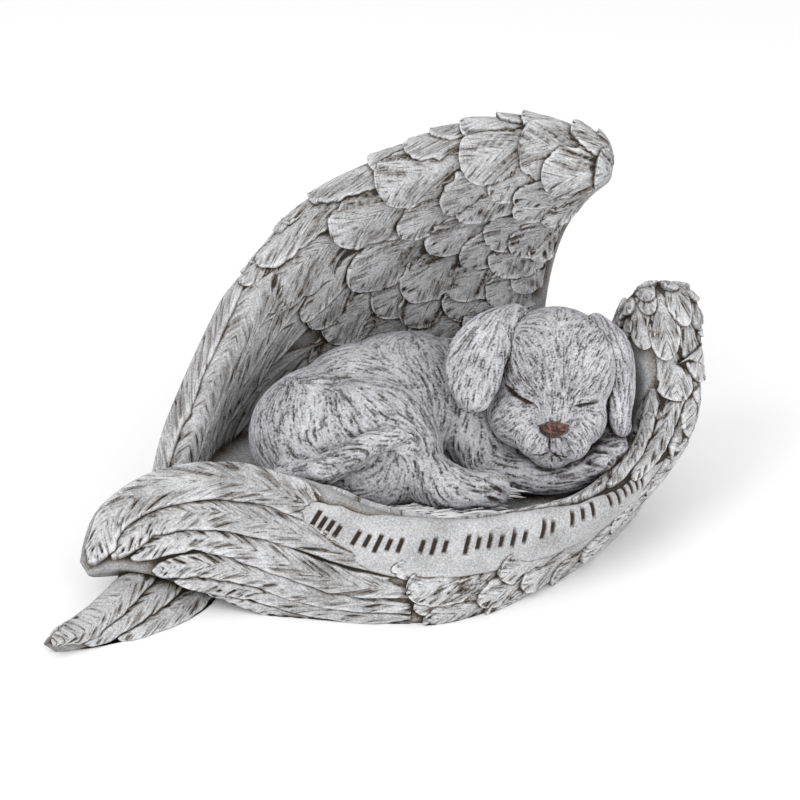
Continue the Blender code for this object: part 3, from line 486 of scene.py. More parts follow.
# Flight feathers: the path from root to tip, each point along and around in thousandths of the wing with the
# width there, and the lift
TALL_FLIGHTS = [
    level(50, (320, 500, 600, 700, 800), (18, 15, 11, 9, 8), 0.4),
    level(130, (320, 500, 600, 700, 800), (18, 15, 11, 9, 8), 0.8),
    level(210, (330, 500, 600, 700, 800), (18, 15, 11, 9, 8), 1.2),
    level(290, (340, 500, 600, 700, 800), (17, 15, 11, 9, 8), 1.6),
    level(370, (370, 500, 600, 700, 800), (16, 15, 11, 9, 8), 1.9),
    level(460, (420, 520, 620, 720, 800), (15, 14, 11, 9, 8), 2.2),
    level(540, (440, 550, 650, 750, 820), (12, 11, 10, 9, 8), 2.0),
]
TAIL_FLIGHTS = [
    ([(740, 90, 9), (840, 100, 10), (930, 120, 7)], 0.5),
    ([(740, 250, 9), (860, 260, 10), (965, 270, 6)], 1.1),
    ([(740, 410, 9), (860, 420, 10), (940, 430, 8), (990, 450, 5)], 1.7),
]
TALL_BACK_FLIGHTS = [
    level(920, (360, 500, 650, 800, 920), (20, 18, 11, 10, 7), 0.4),
    level(800, (380, 500, 650, 800, 950), (20, 18, 12, 10, 7), 0.9),
    level(690, (400, 500, 650, 800, 970), (20, 17, 12, 10, 6), 1.4),
    ([(420, 590, 16), (520, 590, 15), (650, 590, 12), (800, 580, 10), (985, 570, 5)], 1.9),
]
LOW_INNER_FLIGHTS = [
    ([(235, 360, 10), (280, 370, 10), (340, 380, 9), (410, 390, 6)], 0.6),
    ([(225, 410, 9), (280, 420, 9), (340, 430, 8), (400, 445, 5)], 0.8),
    ([(230, 455, 8), (280, 460, 8), (330, 475, 7), (380, 490, 4)], 0.9),
    ([(230, 500, 7), (270, 500, 7), (310, 510, 6), (350, 520, 4)], 0.7),
    ([(520, 410, 8), (580, 420, 8), (640, 420, 7), (700, 410, 5)], 0.8),
    ([(400, 410, 8), (460, 420, 8), (520, 420, 7), (580, 410, 5)], 0.8),
    ([(560, 460, 7), (620, 470, 7), (680, 460, 6), (730, 450, 4)], 1.0),
    ([(420, 460, 7), (480, 465, 7), (540, 460, 6), (600, 450, 4)], 1.0),
    ([(320, 450, 8), (370, 455, 8), (420, 455, 7), (480, 450, 5)], 1.1),
]
LOW_RIGHT_FLIGHTS = [
    ([(240, 600, 8), (280, 600, 8), (314, 640, 7)], 1.8),
    ([(260, 620, 8), (310, 650, 8), (342, 720, 7)], 1.8),
    ([(300, 660, 9), (350, 740, 9), (388, 840, 8)], 1.7),
    ([(220, 880, 11), (320, 890, 11), (410, 950, 9)], 1.2),
    ([(220, 770, 11), (310, 780, 11), (380, 850, 9)], 1.4),
    ([(220, 660, 11), (300, 670, 11), (360, 730, 9)], 1.6),
]
LOW_FLIGHTS = [
    ([(600, 965, 9), (700, 960, 9), (770, 965, 8), (840, 990, 6)], 0.4),
    ([(600, 920, 9), (700, 912, 9), (780, 918, 8), (830, 945, 7), (880, 985, 5)], 0.8),
    ([(600, 860, 9), (700, 865, 9), (780, 862, 9), (850, 895, 8), (910, 975, 6)], 1.2),
    ([(600, 790, 9), (680, 800, 10), (760, 785, 11), (830, 780, 10), (880, 820, 9), (935, 930, 6)], 1.6),
    ([(620, 700, 9), (720, 690, 11), (800, 685, 12), (860, 705, 12), (910, 760, 10), (960, 920, 6)], 2.0),
    ([(700, 600, 13), (750, 585, 13), (820, 585, 13), (900, 620, 13), (955, 680, 11), (992, 860, 6)], 2.5),
]


def carve_flights(carving, wing, quills, look, seed, tilt):
    for i, (points, lift) in enumerate(quills):
        path = [(along / 1000, around / 1000, width) for along, around, width in points]
        carve_feather(carving, wing, path, lift, look, seed + i, 0.82, 0.8, tilt, True)


def tall_wing_pieces(wing):
    """The wall with its inner covers, the long flight feathers with the tail, and the feathers behind."""
    front = Carving()
    carve_wall(front, wing, 90, 60, 0.15)
    carve_covers(front, wing, COVER_LOOK, 1, placed(TALL_INNER_COVERS))
    long = Carving()
    carve_flights(long, wing, TALL_FLIGHTS, FLIGHT_LOOK, 200, FLIGHT_TILT)
    carve_flights(long, wing, TAIL_FLIGHTS, TAIL_LOOK, 220, FLIGHT_TILT)
    back = Carving()
    carve_flights(back, wing, TALL_BACK_FLIGHTS, FLIGHT_LOOK | dict(rows=100), 240, -FLIGHT_TILT)
    carve_rows(back, wing, SMALL_LOOK | dict(rows=18), 21, TALL_OUTER_COVERS)
    return [front.piece("tall_wing"), long.piece("tall_wing_flight_feathers"), back.piece("tall_wing_back")]


def low_wing_pieces(wing):
    """The front wall with its long feathers, and the shorter feathers with those of the post."""
    front = Carving()
    carve_wall(front, wing, 110, 60, 0.1)
    carve_flights(front, wing, LOW_FLIGHTS, FLIGHT_LOOK, 300, FLIGHT_TILT)
    short = Carving()
    inner_and_right = LOW_RIGHT_FLIGHTS + LOW_INNER_FLIGHTS
    carve_flights(short, wing, inner_and_right, TAIL_LOOK | dict(rows=56), 320, FLIGHT_TILT)
    carve_covers(short, wing, COVER_LOOK, 31, placed(LOW_OUTER_COVERS + POST_FRONT))
    carve_covers(short, wing, SMALL_LOOK | dict(rows=20, depth=0.7, spacing=1.2), 35, placed(POST_CAP))
    carve_rows(short, wing, SMALL_LOOK | dict(rows=20), 41, POST_COVERS)
    return [front.piece("low_wing"), short.piece("low_wing_short_feathers")]


# The smooth band under the rim of the low wing: path (along, around, width) and thickness
BAND_PATH = [
    (0.29, 0.56, 11), (0.36, 0.575, 15), (0.43, 0.59, 15), (0.50, 0.61, 16),
    (0.60, 0.635, 18), (0.68, 0.635, 15), (0.73, 0.612, 9),
]
BAND_LIFT = 1.3

# The row of shallow strokes on the band: the line they stand on (along, around), how many in each group,
# and the width, height, depth and lean of one
STROKE_LINE = [
    (0.71, 0.628), (0.68, 0.638), (0.64, 0.632), (0.60, 0.62), (0.56, 0.605), (0.52, 0.58),
    (0.48, 0.56), (0.448, 0.54), (0.41, 0.525), (0.37, 0.525), (0.335, 0.54),
]
STROKE_GROUPS = (4, 5, 3, 6, 2, 3, 6)
STROKE_GAP = 0.9
STROKE_WIDTH = 1.5
STROKE_HEIGHTS = (6.6, 4.6, 5.2, 4.6, 5.8, 4.6)
STROKE_DEPTH = 0.7
STROKE_LEAN = 12.0


def band_piece(wing):
    """The band, with its strokes pressed in and inked. They stand for no letters."""
    carving = Carving()
    carve_feather(carving, wing, BAND_PATH, BAND_LIFT, BAND_LOOK, 400, 0.9, 0.4, 0.0, True)
    band = carving.piece("band")
    points, normals = mesh_points(band.data)
    line = even_curve(STROKE_LINE)
    places, at = [], 0.0
    for group in STROKE_GROUPS:
        places += [at + i for i in range(group)]
        at = places[-1] + 1 + STROKE_GAP
    lean = math.radians(STROKE_LEAN)
    pressed = np.zeros(len(points))
    for i, place in enumerate(places):
        spot = line(np.array([place / places[-1]]))
        middle, normal, d_along, _ = wing.frame(spot[:, 0], spot[:, 1])
        flat = unit(-d_along)
        upright = np.cross(normal, flat) * math.cos(lean) + flat * math.sin(lean)
        away = points - middle
        beside = STROKE_WIDTH / 2 - np.abs(away @ np.cross(upright, normal)[0])
        beyond = STROKE_HEIGHTS[i % len(STROKE_HEIGHTS)] / 2 - np.abs(away @ upright[0])
        within = smooth_step(beside / 0.35 + 0.5) * smooth_step(beyond / 0.5 + 0.5)
        within *= (away @ normal[0] > -0.5) & (away @ normal[0] < 3.5)
        pressed = np.maximum(pressed, within)
    move_points(band.data, points - normals * (STROKE_DEPTH * pressed)[:, None])
    store(band.data, "ink", pressed)
    return band


def joined(name, objects):
    """One object of many, which are used up."""
    with bpy.context.temp_override(
        active_object=objects[0], selected_editable_objects=objects, selected_objects=objects
    ):
        bpy.ops.object.join()
    objects[0].name = name
    return objects[0]


def bake_modifiers(obj):
    """Puts what an object's modifiers make in the place of its mesh."""
    graph = bpy.context.evaluated_depsgraph_get()
    mesh = bpy.data.meshes.new_from_object(obj.evaluated_get(graph))
    obj.modifiers.clear()
    obj.data = mesh


def nest_piece(tall, low):
    """The floor of the nest, between the feet of the two wings."""
    rows, columns = 70, 24
    u, v = np.meshgrid(np.linspace(0, 1, rows), np.linspace(0, 1, columns), indexing="ij")
    back, front = tall.foot(u * NEST_END), low.foot(u * NEST_END)
    flat = (back + (front - back) * NEST_DEPTH * v[..., None]) * (1, 1, 0)
    top = flat + np.array([0, 0, NEST_HEIGHT])
    carving = Carving()
    grain = (u[:, :1] * 0, u[:, :1] * 0)
    carving.add_rings(np.concatenate([top, flat[:, ::-1]], axis=1), np.full((rows, 2 * columns), 0.1), grain)
    return carving.piece("nest")


# The straw: where it lies along and across the nest, the grid it is strewn on, its depth at the low wing,
# and a blade's length, its half width, and how many rings of points it has
STRAW_ALONG, STRAW_ACROSS = (0.12, 0.72), (0.5, 0.93)
STRAW_GRID = (60, 10)
STRAW_DEPTH = 4.6
STRAW = {"Blades per mm2": 0.3, "Turn": 0.45, "Seed": 11}
BLADE_LENGTH, BLADE_HALF, BLADE_RINGS = 12.0, 0.5, 4


def straw_blade():
    """One blade of the straw and down in the nest, lying along X."""
    t = np.linspace(0, 1, BLADE_RINGS)[:, None]
    turn = np.linspace(0, 2 * math.pi, 5, endpoint=False)[None, :]
    half = BLADE_HALF * np.sin(math.pi * np.clip(t, 0.03, 0.97)) ** 0.7
    rise = 0.9 * np.sin(math.pi * t)
    x = np.broadcast_to(BLADE_LENGTH * (t - 0.5), (BLADE_RINGS, 5))
    points = np.stack([x, half * np.cos(turn), rise + 0.5 * half * np.sin(turn)], -1)
    carving = Carving()
    # The blade's cut is painted shade: none on its top, most on its underside.
    carving.add_rings(points, np.broadcast_to(0.4 - 0.4 * np.sin(turn), x.shape), (x * 0, x * 0))
    return carving.piece("blade")


def straw_piece(tall, low):
    """Straw and down strewn over the nest, each blade turned by chance about the way the nest runs."""
    long, wide = STRAW_GRID
    u, v = np.meshgrid(np.linspace(*STRAW_ALONG, long), np.linspace(*STRAW_ACROSS, wide), indexing="ij")
    back, front = tall.foot(u * NEST_END), low.foot(u * NEST_END)
    points = (back + (front - back) * NEST_DEPTH * v[..., None]) * (1, 1, 0)
    points[..., 2] = NEST_HEIGHT + 0.5 + STRAW_DEPTH * smooth_step((v - 0.6) / 0.37)
    number = np.arange(long * wide).reshape(long, wide)
    quads = np.stack([number[:-1, :-1], number[:-1, 1:], number[1:, 1:], number[1:, :-1]], -1).reshape(-1, 4)
    mesh = bpy.data.meshes.new("straw")
    mesh.from_pydata(points.reshape(-1, 3).tolist(), [], quads.tolist())
    straw = linked("straw", mesh)
    blade = straw_blade()
    inputs = {"Geometry": "Geometry", "Blade": "Object"} | dict.fromkeys(["Blades per mm2", "Turn"], "Float")
    inputs |= {"Seed": "Int"}
    group, add, given, result = new_group("strew", "GeometryNodeTree", inputs, {"Geometry": "Geometry"})
    spots = add("GeometryNodeDistributePointsOnFaces", Mesh=given["Geometry"], Seed=given["Seed"],
                Density=given["Blades per mm2"])
    form = add("GeometryNodeObjectInfo", out="Geometry", Object=given["Blade"])
    spread = add.times(given["Turn"], -1.0)
    turn = add("FunctionNodeRandomValue", out=1, _2=spread, _3=given["Turn"], Seed=given["Seed"])
    tilt = add("FunctionNodeRandomValue", out=1, _2=-0.25, _3=0.25, Seed=given["Seed"])
    size = add("FunctionNodeRandomValue", out=1, _2=0.55, _3=1.25, Seed=given["Seed"])
    angles = add("ShaderNodeCombineXYZ", X=tilt, Y=tilt, Z=turn)
    strewn = add("GeometryNodeInstanceOnPoints", Points=spots, Instance=form, Rotation=angles, Scale=size)
    group.links.new(add("GeometryNodeRealizeInstances", Geometry=strewn), result["Geometry"])
    strew = straw.modifiers.new("strew", "NODES")
    strew.node_group = group
    names = {item.name: item.identifier for item in group.interface.items_tree if item.in_out == "INPUT"}
    for name, value in (STRAW | {"Blade": blade}).items():
        strew[names[name]] = value
    bake_modifiers(straw)
    bpy.data.objects.remove(blade)
    return straw


# The puppy's skin: the size of its facets, and how far its lumps are melted together, in square mm
PUPPY_VOXEL = 0.44
HEAD_VOXEL = 0.35
PUPPY_TRIANGLES = 160000
SOLID_SMOOTHING = 12 * 1.2**2
EAR_SMOOTHING = 4.0


def blob(centre, radii):
    """A lump with three radii."""
    bm = bmesh.new()
    bmesh.ops.create_uvsphere(bm, u_segments=32, v_segments=20, radius=1)
    mesh = bpy.data.meshes.new("blob")
    bm.to_mesh(mesh)
    bm.free()
    mesh.transform(Matrix.Translation(centre) @ Matrix.Diagonal((*radii, 1)))
    return linked("blob", mesh)


def limb(points, radii, lumps=9):
    """A leg or a tail: a row of lumps along a smooth curve, close enough to run together."""
    path, radius = even_curve(points), even_curve(radii)
    places = np.linspace(0, 1, lumps * (len(points) - 1) + 1)
    return [blob(path(p), [float(radius(p))] * 3) for p in places]


def flap(points, half_widths, thickness, facing, lumps=12):
    """An ear: a row of flattened lumps along a smooth curve, with their flat side turned to facing."""
    path, width = even_curve(points), even_curve(half_widths)
    leaves = []
    for place in np.linspace(0, 1, lumps * (len(points) - 1) + 1):
        ahead = unit(path(min(place + 0.01, 1)) - path(max(place - 0.01, 0)))
        aside = unit(np.cross(facing, ahead))
        half = float(width(place))
        axes = [ahead * min(half, 4.0), aside * half, np.cross(ahead, aside) * thickness]
        leaf = blob((0, 0, 0), (1, 1, 1))
        rows = [[axis[i] for axis in axes] + [path(place)[i]] for i in range(3)]
        leaf.data.transform(Matrix(rows + [[0, 0, 0, 1]]))
        leaves.append(leaf)
    return leaves


def melted(name, lumps, voxel, smoothing, turn=None):
    """One smooth skin over overlapping lumps. smoothing is in square millimetres, as heat spreads."""
    obj = joined(name, lumps)
    if turn:
        obj.data.transform(turn)
    remesh = obj.modifiers.new("melt", "REMESH")
    remesh.mode = "VOXEL"
    remesh.voxel_size = voxel
    smooth = obj.modifiers.new("smooth", "SMOOTH")
    smooth.factor = 0.5
    smooth.iterations = round(smoothing / voxel**2)
    bake_modifiers(obj)
    return obj


def puppy_body():
    """The body curled up in the nest: its lumps, then a hind leg, the tail and the fore legs."""
    lumps = [
        blob((-14, 11, 32), (31, 28, 24)),
        blob((-3, 19, 37), (28, 27, 23)),
        blob((9, 23, 40), (28, 26, 22)),
        blob((26, 25, 38), (28, 22, 21)),
        blob((-3, 2, 36), (25, 21, 22)),
        blob((8, -5, 34), (14, 14, 17)),
        blob((0, -8, 30), (22, 14, 14)),
        blob((38, 13, 33), (20, 16, 18)),
        blob((60, 12, 32), (22, 16, 14)),
        blob((76, 6, 36), (7, 7, 6)),
    ]
    hind_leg = [(13, -10, 30), (21, -17, 29), (30, -20, 28.5), (38, -20, 29)]
    tail = [(-30, -13, 29), (-21, -20, 35), (-11, -20, 41), (-3, -19, 45.5), (6, -16, 47.5)]
    near_leg = [(36, 2, 27), (47, -5, 26), (60, -8, 26.5), (68, -8, 29), (75, -7, 32)]
    far_leg = [(72, 12, 30), (78, 4, 32), (81, -2, 33)]
    lumps += limb(hind_leg, [10, 8.5, 7, 6.5]) + limb(tail, [6, 5.5, 4.8, 4.2, 3.4])
    lumps += limb(near_leg, [8, 6.5, 6, 6, 6]) + limb(far_leg, [9, 7, 5])
    return melted("puppy_body", lumps, PUPPY_VOXEL, SOLID_SMOOTHING)


def head_place():
    """Where the head lies and how it is turned."""
    turn = Euler([math.radians(a) for a in HEAD_TURN]).to_matrix().to_4x4()
    return Matrix.Translation(HEAD_CENTRE) @ turn


def puppy_skull():
    """The head without its ears, in its own frame until it is melted."""
    lumps = [
        blob((0, 0, 0), (21, 21, 20.5)),
        blob((-1, -6, -8), (18.5, 15, 14)),
        blob((-9, -4, -15), (13, 14, 13)),
        blob((7, -5, -15), (12, 13, 12)),
        blob((0, -11, -17), (13, 12, 11)),
        blob((0, -15, -9), (8.5, 9.5, 7.5)),
        blob((-5, -15, -20), (8, 8.5, 7.5)),
        blob((5, -15, -20), (8, 8.5, 7.5)),
        blob((0, -12, -26), (8, 8, 5.5)),
        blob((-11.5, -14, -6.5), (5, 4, 3.5)),
        blob((10.5, -13.5, -7.5), (5, 4, 3.5)),
        blob((-0.5, -24.5, -13), (5.2, 3.2, 2.8)),
    ]
    return melted("puppy_head", lumps, HEAD_VOXEL, SOLID_SMOOTHING, head_place())


def puppy_ears():
    left_ear = [(-13, 5, 15), (-22, -3, 11.5), (-28, -8.5, 5), (-28.5, -11, -3), (-28, -12, -10)]
    right_ear = [(12, 1, 15.5), (20.5, -0.5, 8), (23.2, -2.5, -4), (23.2, -4, -13), (24.5, -5, -18)]
    left = flap(left_ear, [6, 9, 10.3, 9.5, 6], 2.6, (-0.35, -0.85, 0.4))
    right = flap(right_ear, [5, 6.5, 7, 6, 3.5], 3.2, (0.75, -0.6, 0.3))
    return melted("puppy_ears", left + right, HEAD_VOXEL, EAR_SMOOTHING, head_place())


# The lie of the fur: where, to the right and up in the view in mm, and which way it runs, right and up
BODY_FUR = [
    (2, 20, -0.25, -1), (17, 22, 0, -1), (17, 7, 0.1, -1), (-16, 11, 1, 0.05), (-1, 10, 1, -0.25),
    (8, 5, 1, -0.8), (15, -4, 0.4, -1), (19, -14, 0.15, -1), (21, -24, 0.1, -1), (-10, 2, 0.5, -1),
    (-22, -5, 0.1, -1), (-31, -11, 0.2, -1), (-13, -10, 0.6, -1), (-4, -5, 0.8, -1), (-37, -20, 0.7, -0.6),
    (-25, -20, 0.7, -0.6), (-26, -27, 1, 0.6), (-9, -20, 1, 0.6), (7, -13, 1, 0.3), (-1, -24, -0.5, -0.6),
    (8, -27, 0, -1), (-7, -27, -1, -0.3), (29, -27, 1, -0.3), (38, -30, 1, -0.4), (26, -8, -0.4, -1),
    (29, -17, -0.5, -1), (38, -11, 0.3, -1), (28, -5, -0.3, -1), (47, -20, 1, -0.2), (62, -17, 1, 0.2),
    (77, -14, 1, 0.4),
]
HEAD_FUR = [
    (60, -4, 0, 1), (62, 14, 0.05, 1), (55, 16, -0.45, 1), (50, 11, -0.7, 1), (47, 19, -0.9, 0.6),
    (68, 16, 0.5, 1), (74, 11, 0.9, 0.8), (76, 16, 1, 0.6), (45, -4, -1, -0.25), (46, -9, -1, -0.6),
    (50, -15, -0.6, -0.8), (71, -7, 1, -0.2), (73, -12, 0.6, -0.9), (51, -14, -0.6, -0.7),
    (63, -16, 0.4, -0.8), (58, -21, 0, -1), (53, 28, -1, 0.35), (61, 29, 0, 1), (68, 27, 0.6, 0.6),
    (35, 27, -1, -0.3),
]
EAR_FUR = [
    (35, 19, -0.5, -0.8), (30, 11, -0.5, -1), (36, 6, -0.1, -1), (39, 14, 0.1, -1), (26, 14, -0.8, -0.8),
    (79, 16, 0.3, -1), (84, 9, 0.2, -1), (81, -4, 0.1, -1),
]

# The strokes of the fur: how far a place above leads them, and their length and depth, in mm
BODY_STROKES = dict(seed=501, reach=5.0, length=3.6, depth=0.5)
HEAD_STROKES = dict(seed=502, reach=4.5, length=2.4, depth=0.32)
EAR_STROKES = dict(seed=503, reach=5.0, length=3.2, depth=0.32)

# The face and paws in the view, in mm: the lines cut into them with their width and depth, and the nose
EYE_LINES = [
    ([(42.7, 5.2), (44.2, 3.6), (46.2, 1.7), (48.2, 0.3), (50.3, -0.7), (52.4, -1.2)], 0.75, 1.3),
    ([(66.8, -1.9), (69.2, -1.8), (71.5, -1.4), (74.2, -0.6)], 0.55, 1.1),
]
MOUTH_LINES = [
    ([(57.8, -12.6), (57.9, -15.2), (58.0, -17.5)], 0.32, 0.8),
    ([(58.0, -17.5), (55.7, -18.4), (53.3, -18.8), (50.8, -18.6)], 0.36, 0.9),
    ([(58.0, -17.5), (60.0, -18.6), (62.1, -19.2), (63.9, -19.2)], 0.36, 0.9),
    ([(54.4, -8.6), (55.4, -10.9), (57.6, -12.9)], 0.4, 0.6),
    ([(64.6, -9.0), (64.1, -10.8), (61.6, -12.3), (58.4, -13.2)], 0.3, 0.5),
    ([(61.4, -10.7), (62.2, -11.0), (63.0, -10.8)], 0.45, 0.7),
]
PAW_LINES = [
    ([(37.5, -29.0), (41.0, -30.3), (44.0, -32.3)], 0.65, 1.0),
    ([(36.0, -32.5), (39.5, -33.8), (42.5, -35.8)], 0.65, 1.0),
    ([(69.5, -20.0), (72.5, -22.0), (76.0, -22.8)], 0.7, 1.1),
    ([(71.0, -16.3), (75.0, -17.3), (79.5, -18.0)], 0.7, 1.1),
    ([(30.0, -30.5), (34.0, -31.0), (38.5, -31.0)], 0.4, 0.35),
]
NOSE_OUTLINE = [
    (54.6, -8.4), (57.0, -7.5), (61.0, -7.5), (64.4, -8.6),
    (64.2, -10.4), (61.5, -12.0), (57.8, -13.1), (56.0, -11.4),
]
NOSE_HEIGHT = 0.45
FRONT_RIGHT = np.array([1.0, 0.0, 0.0])
FRONT_UP = np.array([0.0, math.sin(math.radians(CAMERA_ELEVATION)), math.cos(math.radians(CAMERA_ELEVATION))])
FRONT = np.cross(FRONT_RIGHT, FRONT_UP)
EYE = np.array(CAMERA_TARGET) + FRONT * CAMERA_DISTANCE


def in_view(points):
    """Where the view shows points, as (right, up) in mm on the plane through its target."""
    away = points - EYE
    scale = CAMERA_DISTANCE / -(away @ FRONT)
    return np.stack([away @ FRONT_RIGHT * scale + CAMERA_TARGET[0], away @ FRONT_UP * scale], axis=1)


def fur_lie(points, normals, guides, reach):
    """The way the fur runs at each point: guides near it, blended, and laid on the surface."""
    seen = in_view(points)
    lie = np.zeros_like(points)
    for *place, right, up in guides:
        near = np.exp(-np.sum((seen - place) ** 2, axis=1) / (2 * reach**2)) + 1e-9
        way = np.array([right, up]) / np.hypot(right, up)
        lie += near[:, None] * (way[0] * FRONT_RIGHT + way[1] * FRONT_UP)
    lie -= normals * np.sum(lie * normals, axis=1, keepdims=True)
    return unit(lie)


def smoothed(mesh, values, rounds):
    """values averaged with their neighbours along the edges, rounds times."""
    edges = np.empty(len(mesh.edges) * 2, np.int32)
    mesh.edges.foreach_get("vertices", edges)
    a, b = edges.reshape(-1, 2).T
    count = np.bincount(np.concatenate([a, b]), minlength=len(values)) + 1.0
    for _ in range(rounds):
        total = values + np.bincount(a, values[b], len(values)) + np.bincount(b, values[a], len(values))
        values = total / count
    return values


def streaks(mesh, points, lie, voxel, seed, length, softness):
    """Random streaks that run with the fur, as ranks from 0 to 1: speckle averaged along the lie."""
    speckle = smoothed(mesh, np.random.default_rng(seed).standard_normal(len(points)), softness)
    cell = voxel * 1.35
    low = points.min(0) - 2 * cell
    shape = np.ceil((points.max(0) - low) / cell).astype(int) + 4

    def key(place):
        cells = np.clip(((place - low) / cell).astype(int), 0, shape - 1)
        return (cells[:, 0] * shape[1] + cells[:, 1]) * shape[2] + cells[:, 2]

    keys, first = np.unique(key(points), return_index=True)
    total = speckle.copy()
    for direction in (1, -1):
        here, index = points.copy(), np.arange(len(points))
        for _ in range(round(length / 2 / voxel)):
            here = here + direction * voxel * lie[index]
            wanted = key(here)
            slot = np.clip(np.searchsorted(keys, wanted), 0, len(keys) - 1)
            found = keys[slot] == wanted
            index = np.where(found, first[slot], index)
            here = np.where(found[:, None], here, points[index])
            total += speckle[index]
    order = np.empty(len(total))
    order[np.argsort(total, kind="stable")] = np.linspace(0, 1, len(total))
    return order


def furred(obj, guides, voxel, seed, reach, length, depth, bald=0.0):
    """Cuts the strokes of the fur into a skin, but not where bald is 1."""
    points, normals = mesh_points(obj.data)
    lie = fur_lie(points, normals, guides, reach)
    rank = 0.8 * streaks(obj.data, points, lie, voxel, seed, length, 0)
    rank += 0.2 * streaks(obj.data, points, lie, voxel, seed + 50, 1.6 * length, 2)
    hair = 1 - bald
    cut = 1 - smooth_step((rank - 0.1) / 0.28)
    height = depth * (0.6 * rank - cut) * hair
    move_points(obj.data, points + normals * height[:, None])
    store(obj.data, "cut", (0.62 * cut + 0.6 * (0.47 - rank)) * hair)
    return obj


def seen_on(tree, line):
    """The points of a skin that the view shows along a line."""
    found = []
    for right, up in even_curve(line)(np.linspace(0, 1, 60)):
        through = np.array(CAMERA_TARGET) + (right - CAMERA_TARGET[0]) * FRONT_RIGHT + up * FRONT_UP
        hit = tree.ray_cast(Vector(EYE), Vector(unit(through - EYE)))[0]
        if hit:
            found.append(hit)
    return np.array(found)


def creased(obj, lines, ink):
    """Cuts lines into a skin and keeps where they are inked."""
    points, normals = mesh_points(obj.data)
    tree = BVHTree.FromPolygons(points.tolist(), mesh_triangles(obj.data).tolist())
    deepest, inked = np.zeros(len(points)), np.zeros(len(points))
    for line, width, depth in lines:
        path = seen_on(tree, line)
        if not len(path):
            continue
        low, high = path.min(0) - 4 * width, path.max(0) + 4 * width
        near = np.nonzero(np.all((points > low) & (points < high), axis=1))[0]
        away = np.linalg.norm(points[near, None] - path[None], axis=2)
        ends = np.minimum(away.argmin(1), len(path) - 1 - away.argmin(1)) / len(path)
        taper = 0.45 + 0.55 * smooth_step(ends / 0.25)
        near_line = np.exp(-((away.min(1) / (width * taper)) ** 2))
        deepest[near] = np.maximum(deepest[near], depth * taper * near_line)
        inked[near] = np.maximum(inked[near], np.exp(-((away.min(1) / (width * taper * 1.1)) ** 4)))
    move_points(obj.data, points - normals * deepest[:, None])
    store(obj.data, "ink", inked * ink)
    return obj


def nose_mask(points, normals):
    """1 on the nose, as the view shows it, falling to 0 over its edge."""
    seen = in_view(points)
    outline = np.array(NOSE_OUTLINE)
    following = np.roll(outline, -1, axis=0)
    inside = np.zeros(len(points), bool)
    nearest = np.full(len(points), 1e9)
    for a, b in zip(outline, following):
        crosses = (a[1] > seen[:, 1]) != (b[1] > seen[:, 1])
        at = a[0] + (seen[:, 1] - a[1]) / (b[1] - a[1] + 1e-9) * (b[0] - a[0])
        inside ^= crosses & (seen[:, 0] < at)
        share = np.clip((seen - a) @ (b - a) / ((b - a) @ (b - a)), 0, 1)
        nearest = np.minimum(nearest, np.linalg.norm(seen - a - share[:, None] * (b - a), axis=1))
    depth = np.where(inside, nearest, -nearest)
    facing = smooth_step((normals @ FRONT - 0.1) / 0.3)
    return smooth_step((depth + 0.35) / 0.7) * facing


def cut_below(obj, height):
    """Cuts a skin off level at height and closes it."""
    bm = bmesh.new()
    bm.from_mesh(obj.data)
    everything = bm.verts[:] + bm.edges[:] + bm.faces[:]
    bmesh.ops.bisect_plane(bm, geom=everything, plane_co=(0, 0, height), plane_no=(0, 0, 1), clear_inner=True)
    bmesh.ops.holes_fill(bm, edges=[e for e in bm.edges if e.is_boundary])
    write_back(bm, obj.data)
    return obj


def puppy_pieces():
    """The body, cut off level under the nest, the head with its face, and the ears."""
    body = cut_below(puppy_body(), NEST_HEIGHT - 3)
    furred(body, BODY_FUR, PUPPY_VOXEL, **BODY_STROKES)
    creased(body, PAW_LINES, 0.5)
    thin = body.modifiers.new("thin", "DECIMATE")
    thin.ratio = min(PUPPY_TRIANGLES / len(mesh_triangles(body.data)), 1)
    bake_modifiers(body)
    head = puppy_skull()
    points, normals = mesh_points(head.data)
    nose = nose_mask(points, normals)
    move_points(head.data, points + normals * NOSE_HEIGHT * nose[:, None])
    furred(head, HEAD_FUR, HEAD_VOXEL, **HEAD_STROKES, bald=nose)
    creased(head, EYE_LINES + MOUTH_LINES, 1.0)
    store(head.data, "nose", nose)
    ears = furred(puppy_ears(), EAR_FUR, HEAD_VOXEL, **EAR_STROKES)
    return [body, head, ears]


def shade_hollows(pieces, reach, rays):
    """Keeps in an attribute how shut in each point is by the stone around it, from 0 to 1. The stone is
    darkened by it: partly its dark wash in the hollows, partly painted shade.
    """
    golden = math.pi * (3 - math.sqrt(5))
    spread = [(math.sqrt((i + 0.5) / rays), i * golden) for i in range(rays)]
    fan = np.array([(r * math.cos(a), r * math.sin(a), math.sqrt(1 - r * r)) for r, a in spread])
    gathered, corners, total = [], [], 0
    for piece in pieces:
        gathered.append(mesh_points(piece.data)[0])
        corners.append(mesh_triangles(piece.data) + total)
        total += len(gathered[-1])
    tree = BVHTree.FromPolygons(np.concatenate(gathered).tolist(), np.concatenate(corners).tolist())
    for piece in pieces:
        points, normals = mesh_points(piece.data)
        side = unit(np.cross(normals, np.where(np.abs(normals[:, 2:3]) < 0.9, [[0, 0, 1.0]], [[1.0, 0, 0]])))
        other = np.cross(normals, side)
        starts = points + normals * 0.08
        shut = np.zeros(len(points))
        cast = tree.ray_cast
        for x, y, z in fan:
            ways = side * x + other * y + normals * z
            hits = [cast(s, w, reach)[3] for s, w in zip(starts.tolist(), ways.tolist())]
            shut += [0.0 if h is None else 1 - h / reach for h in hits]
        store(piece.data, "shut", smoothed(piece.data, shut / rays, 1))


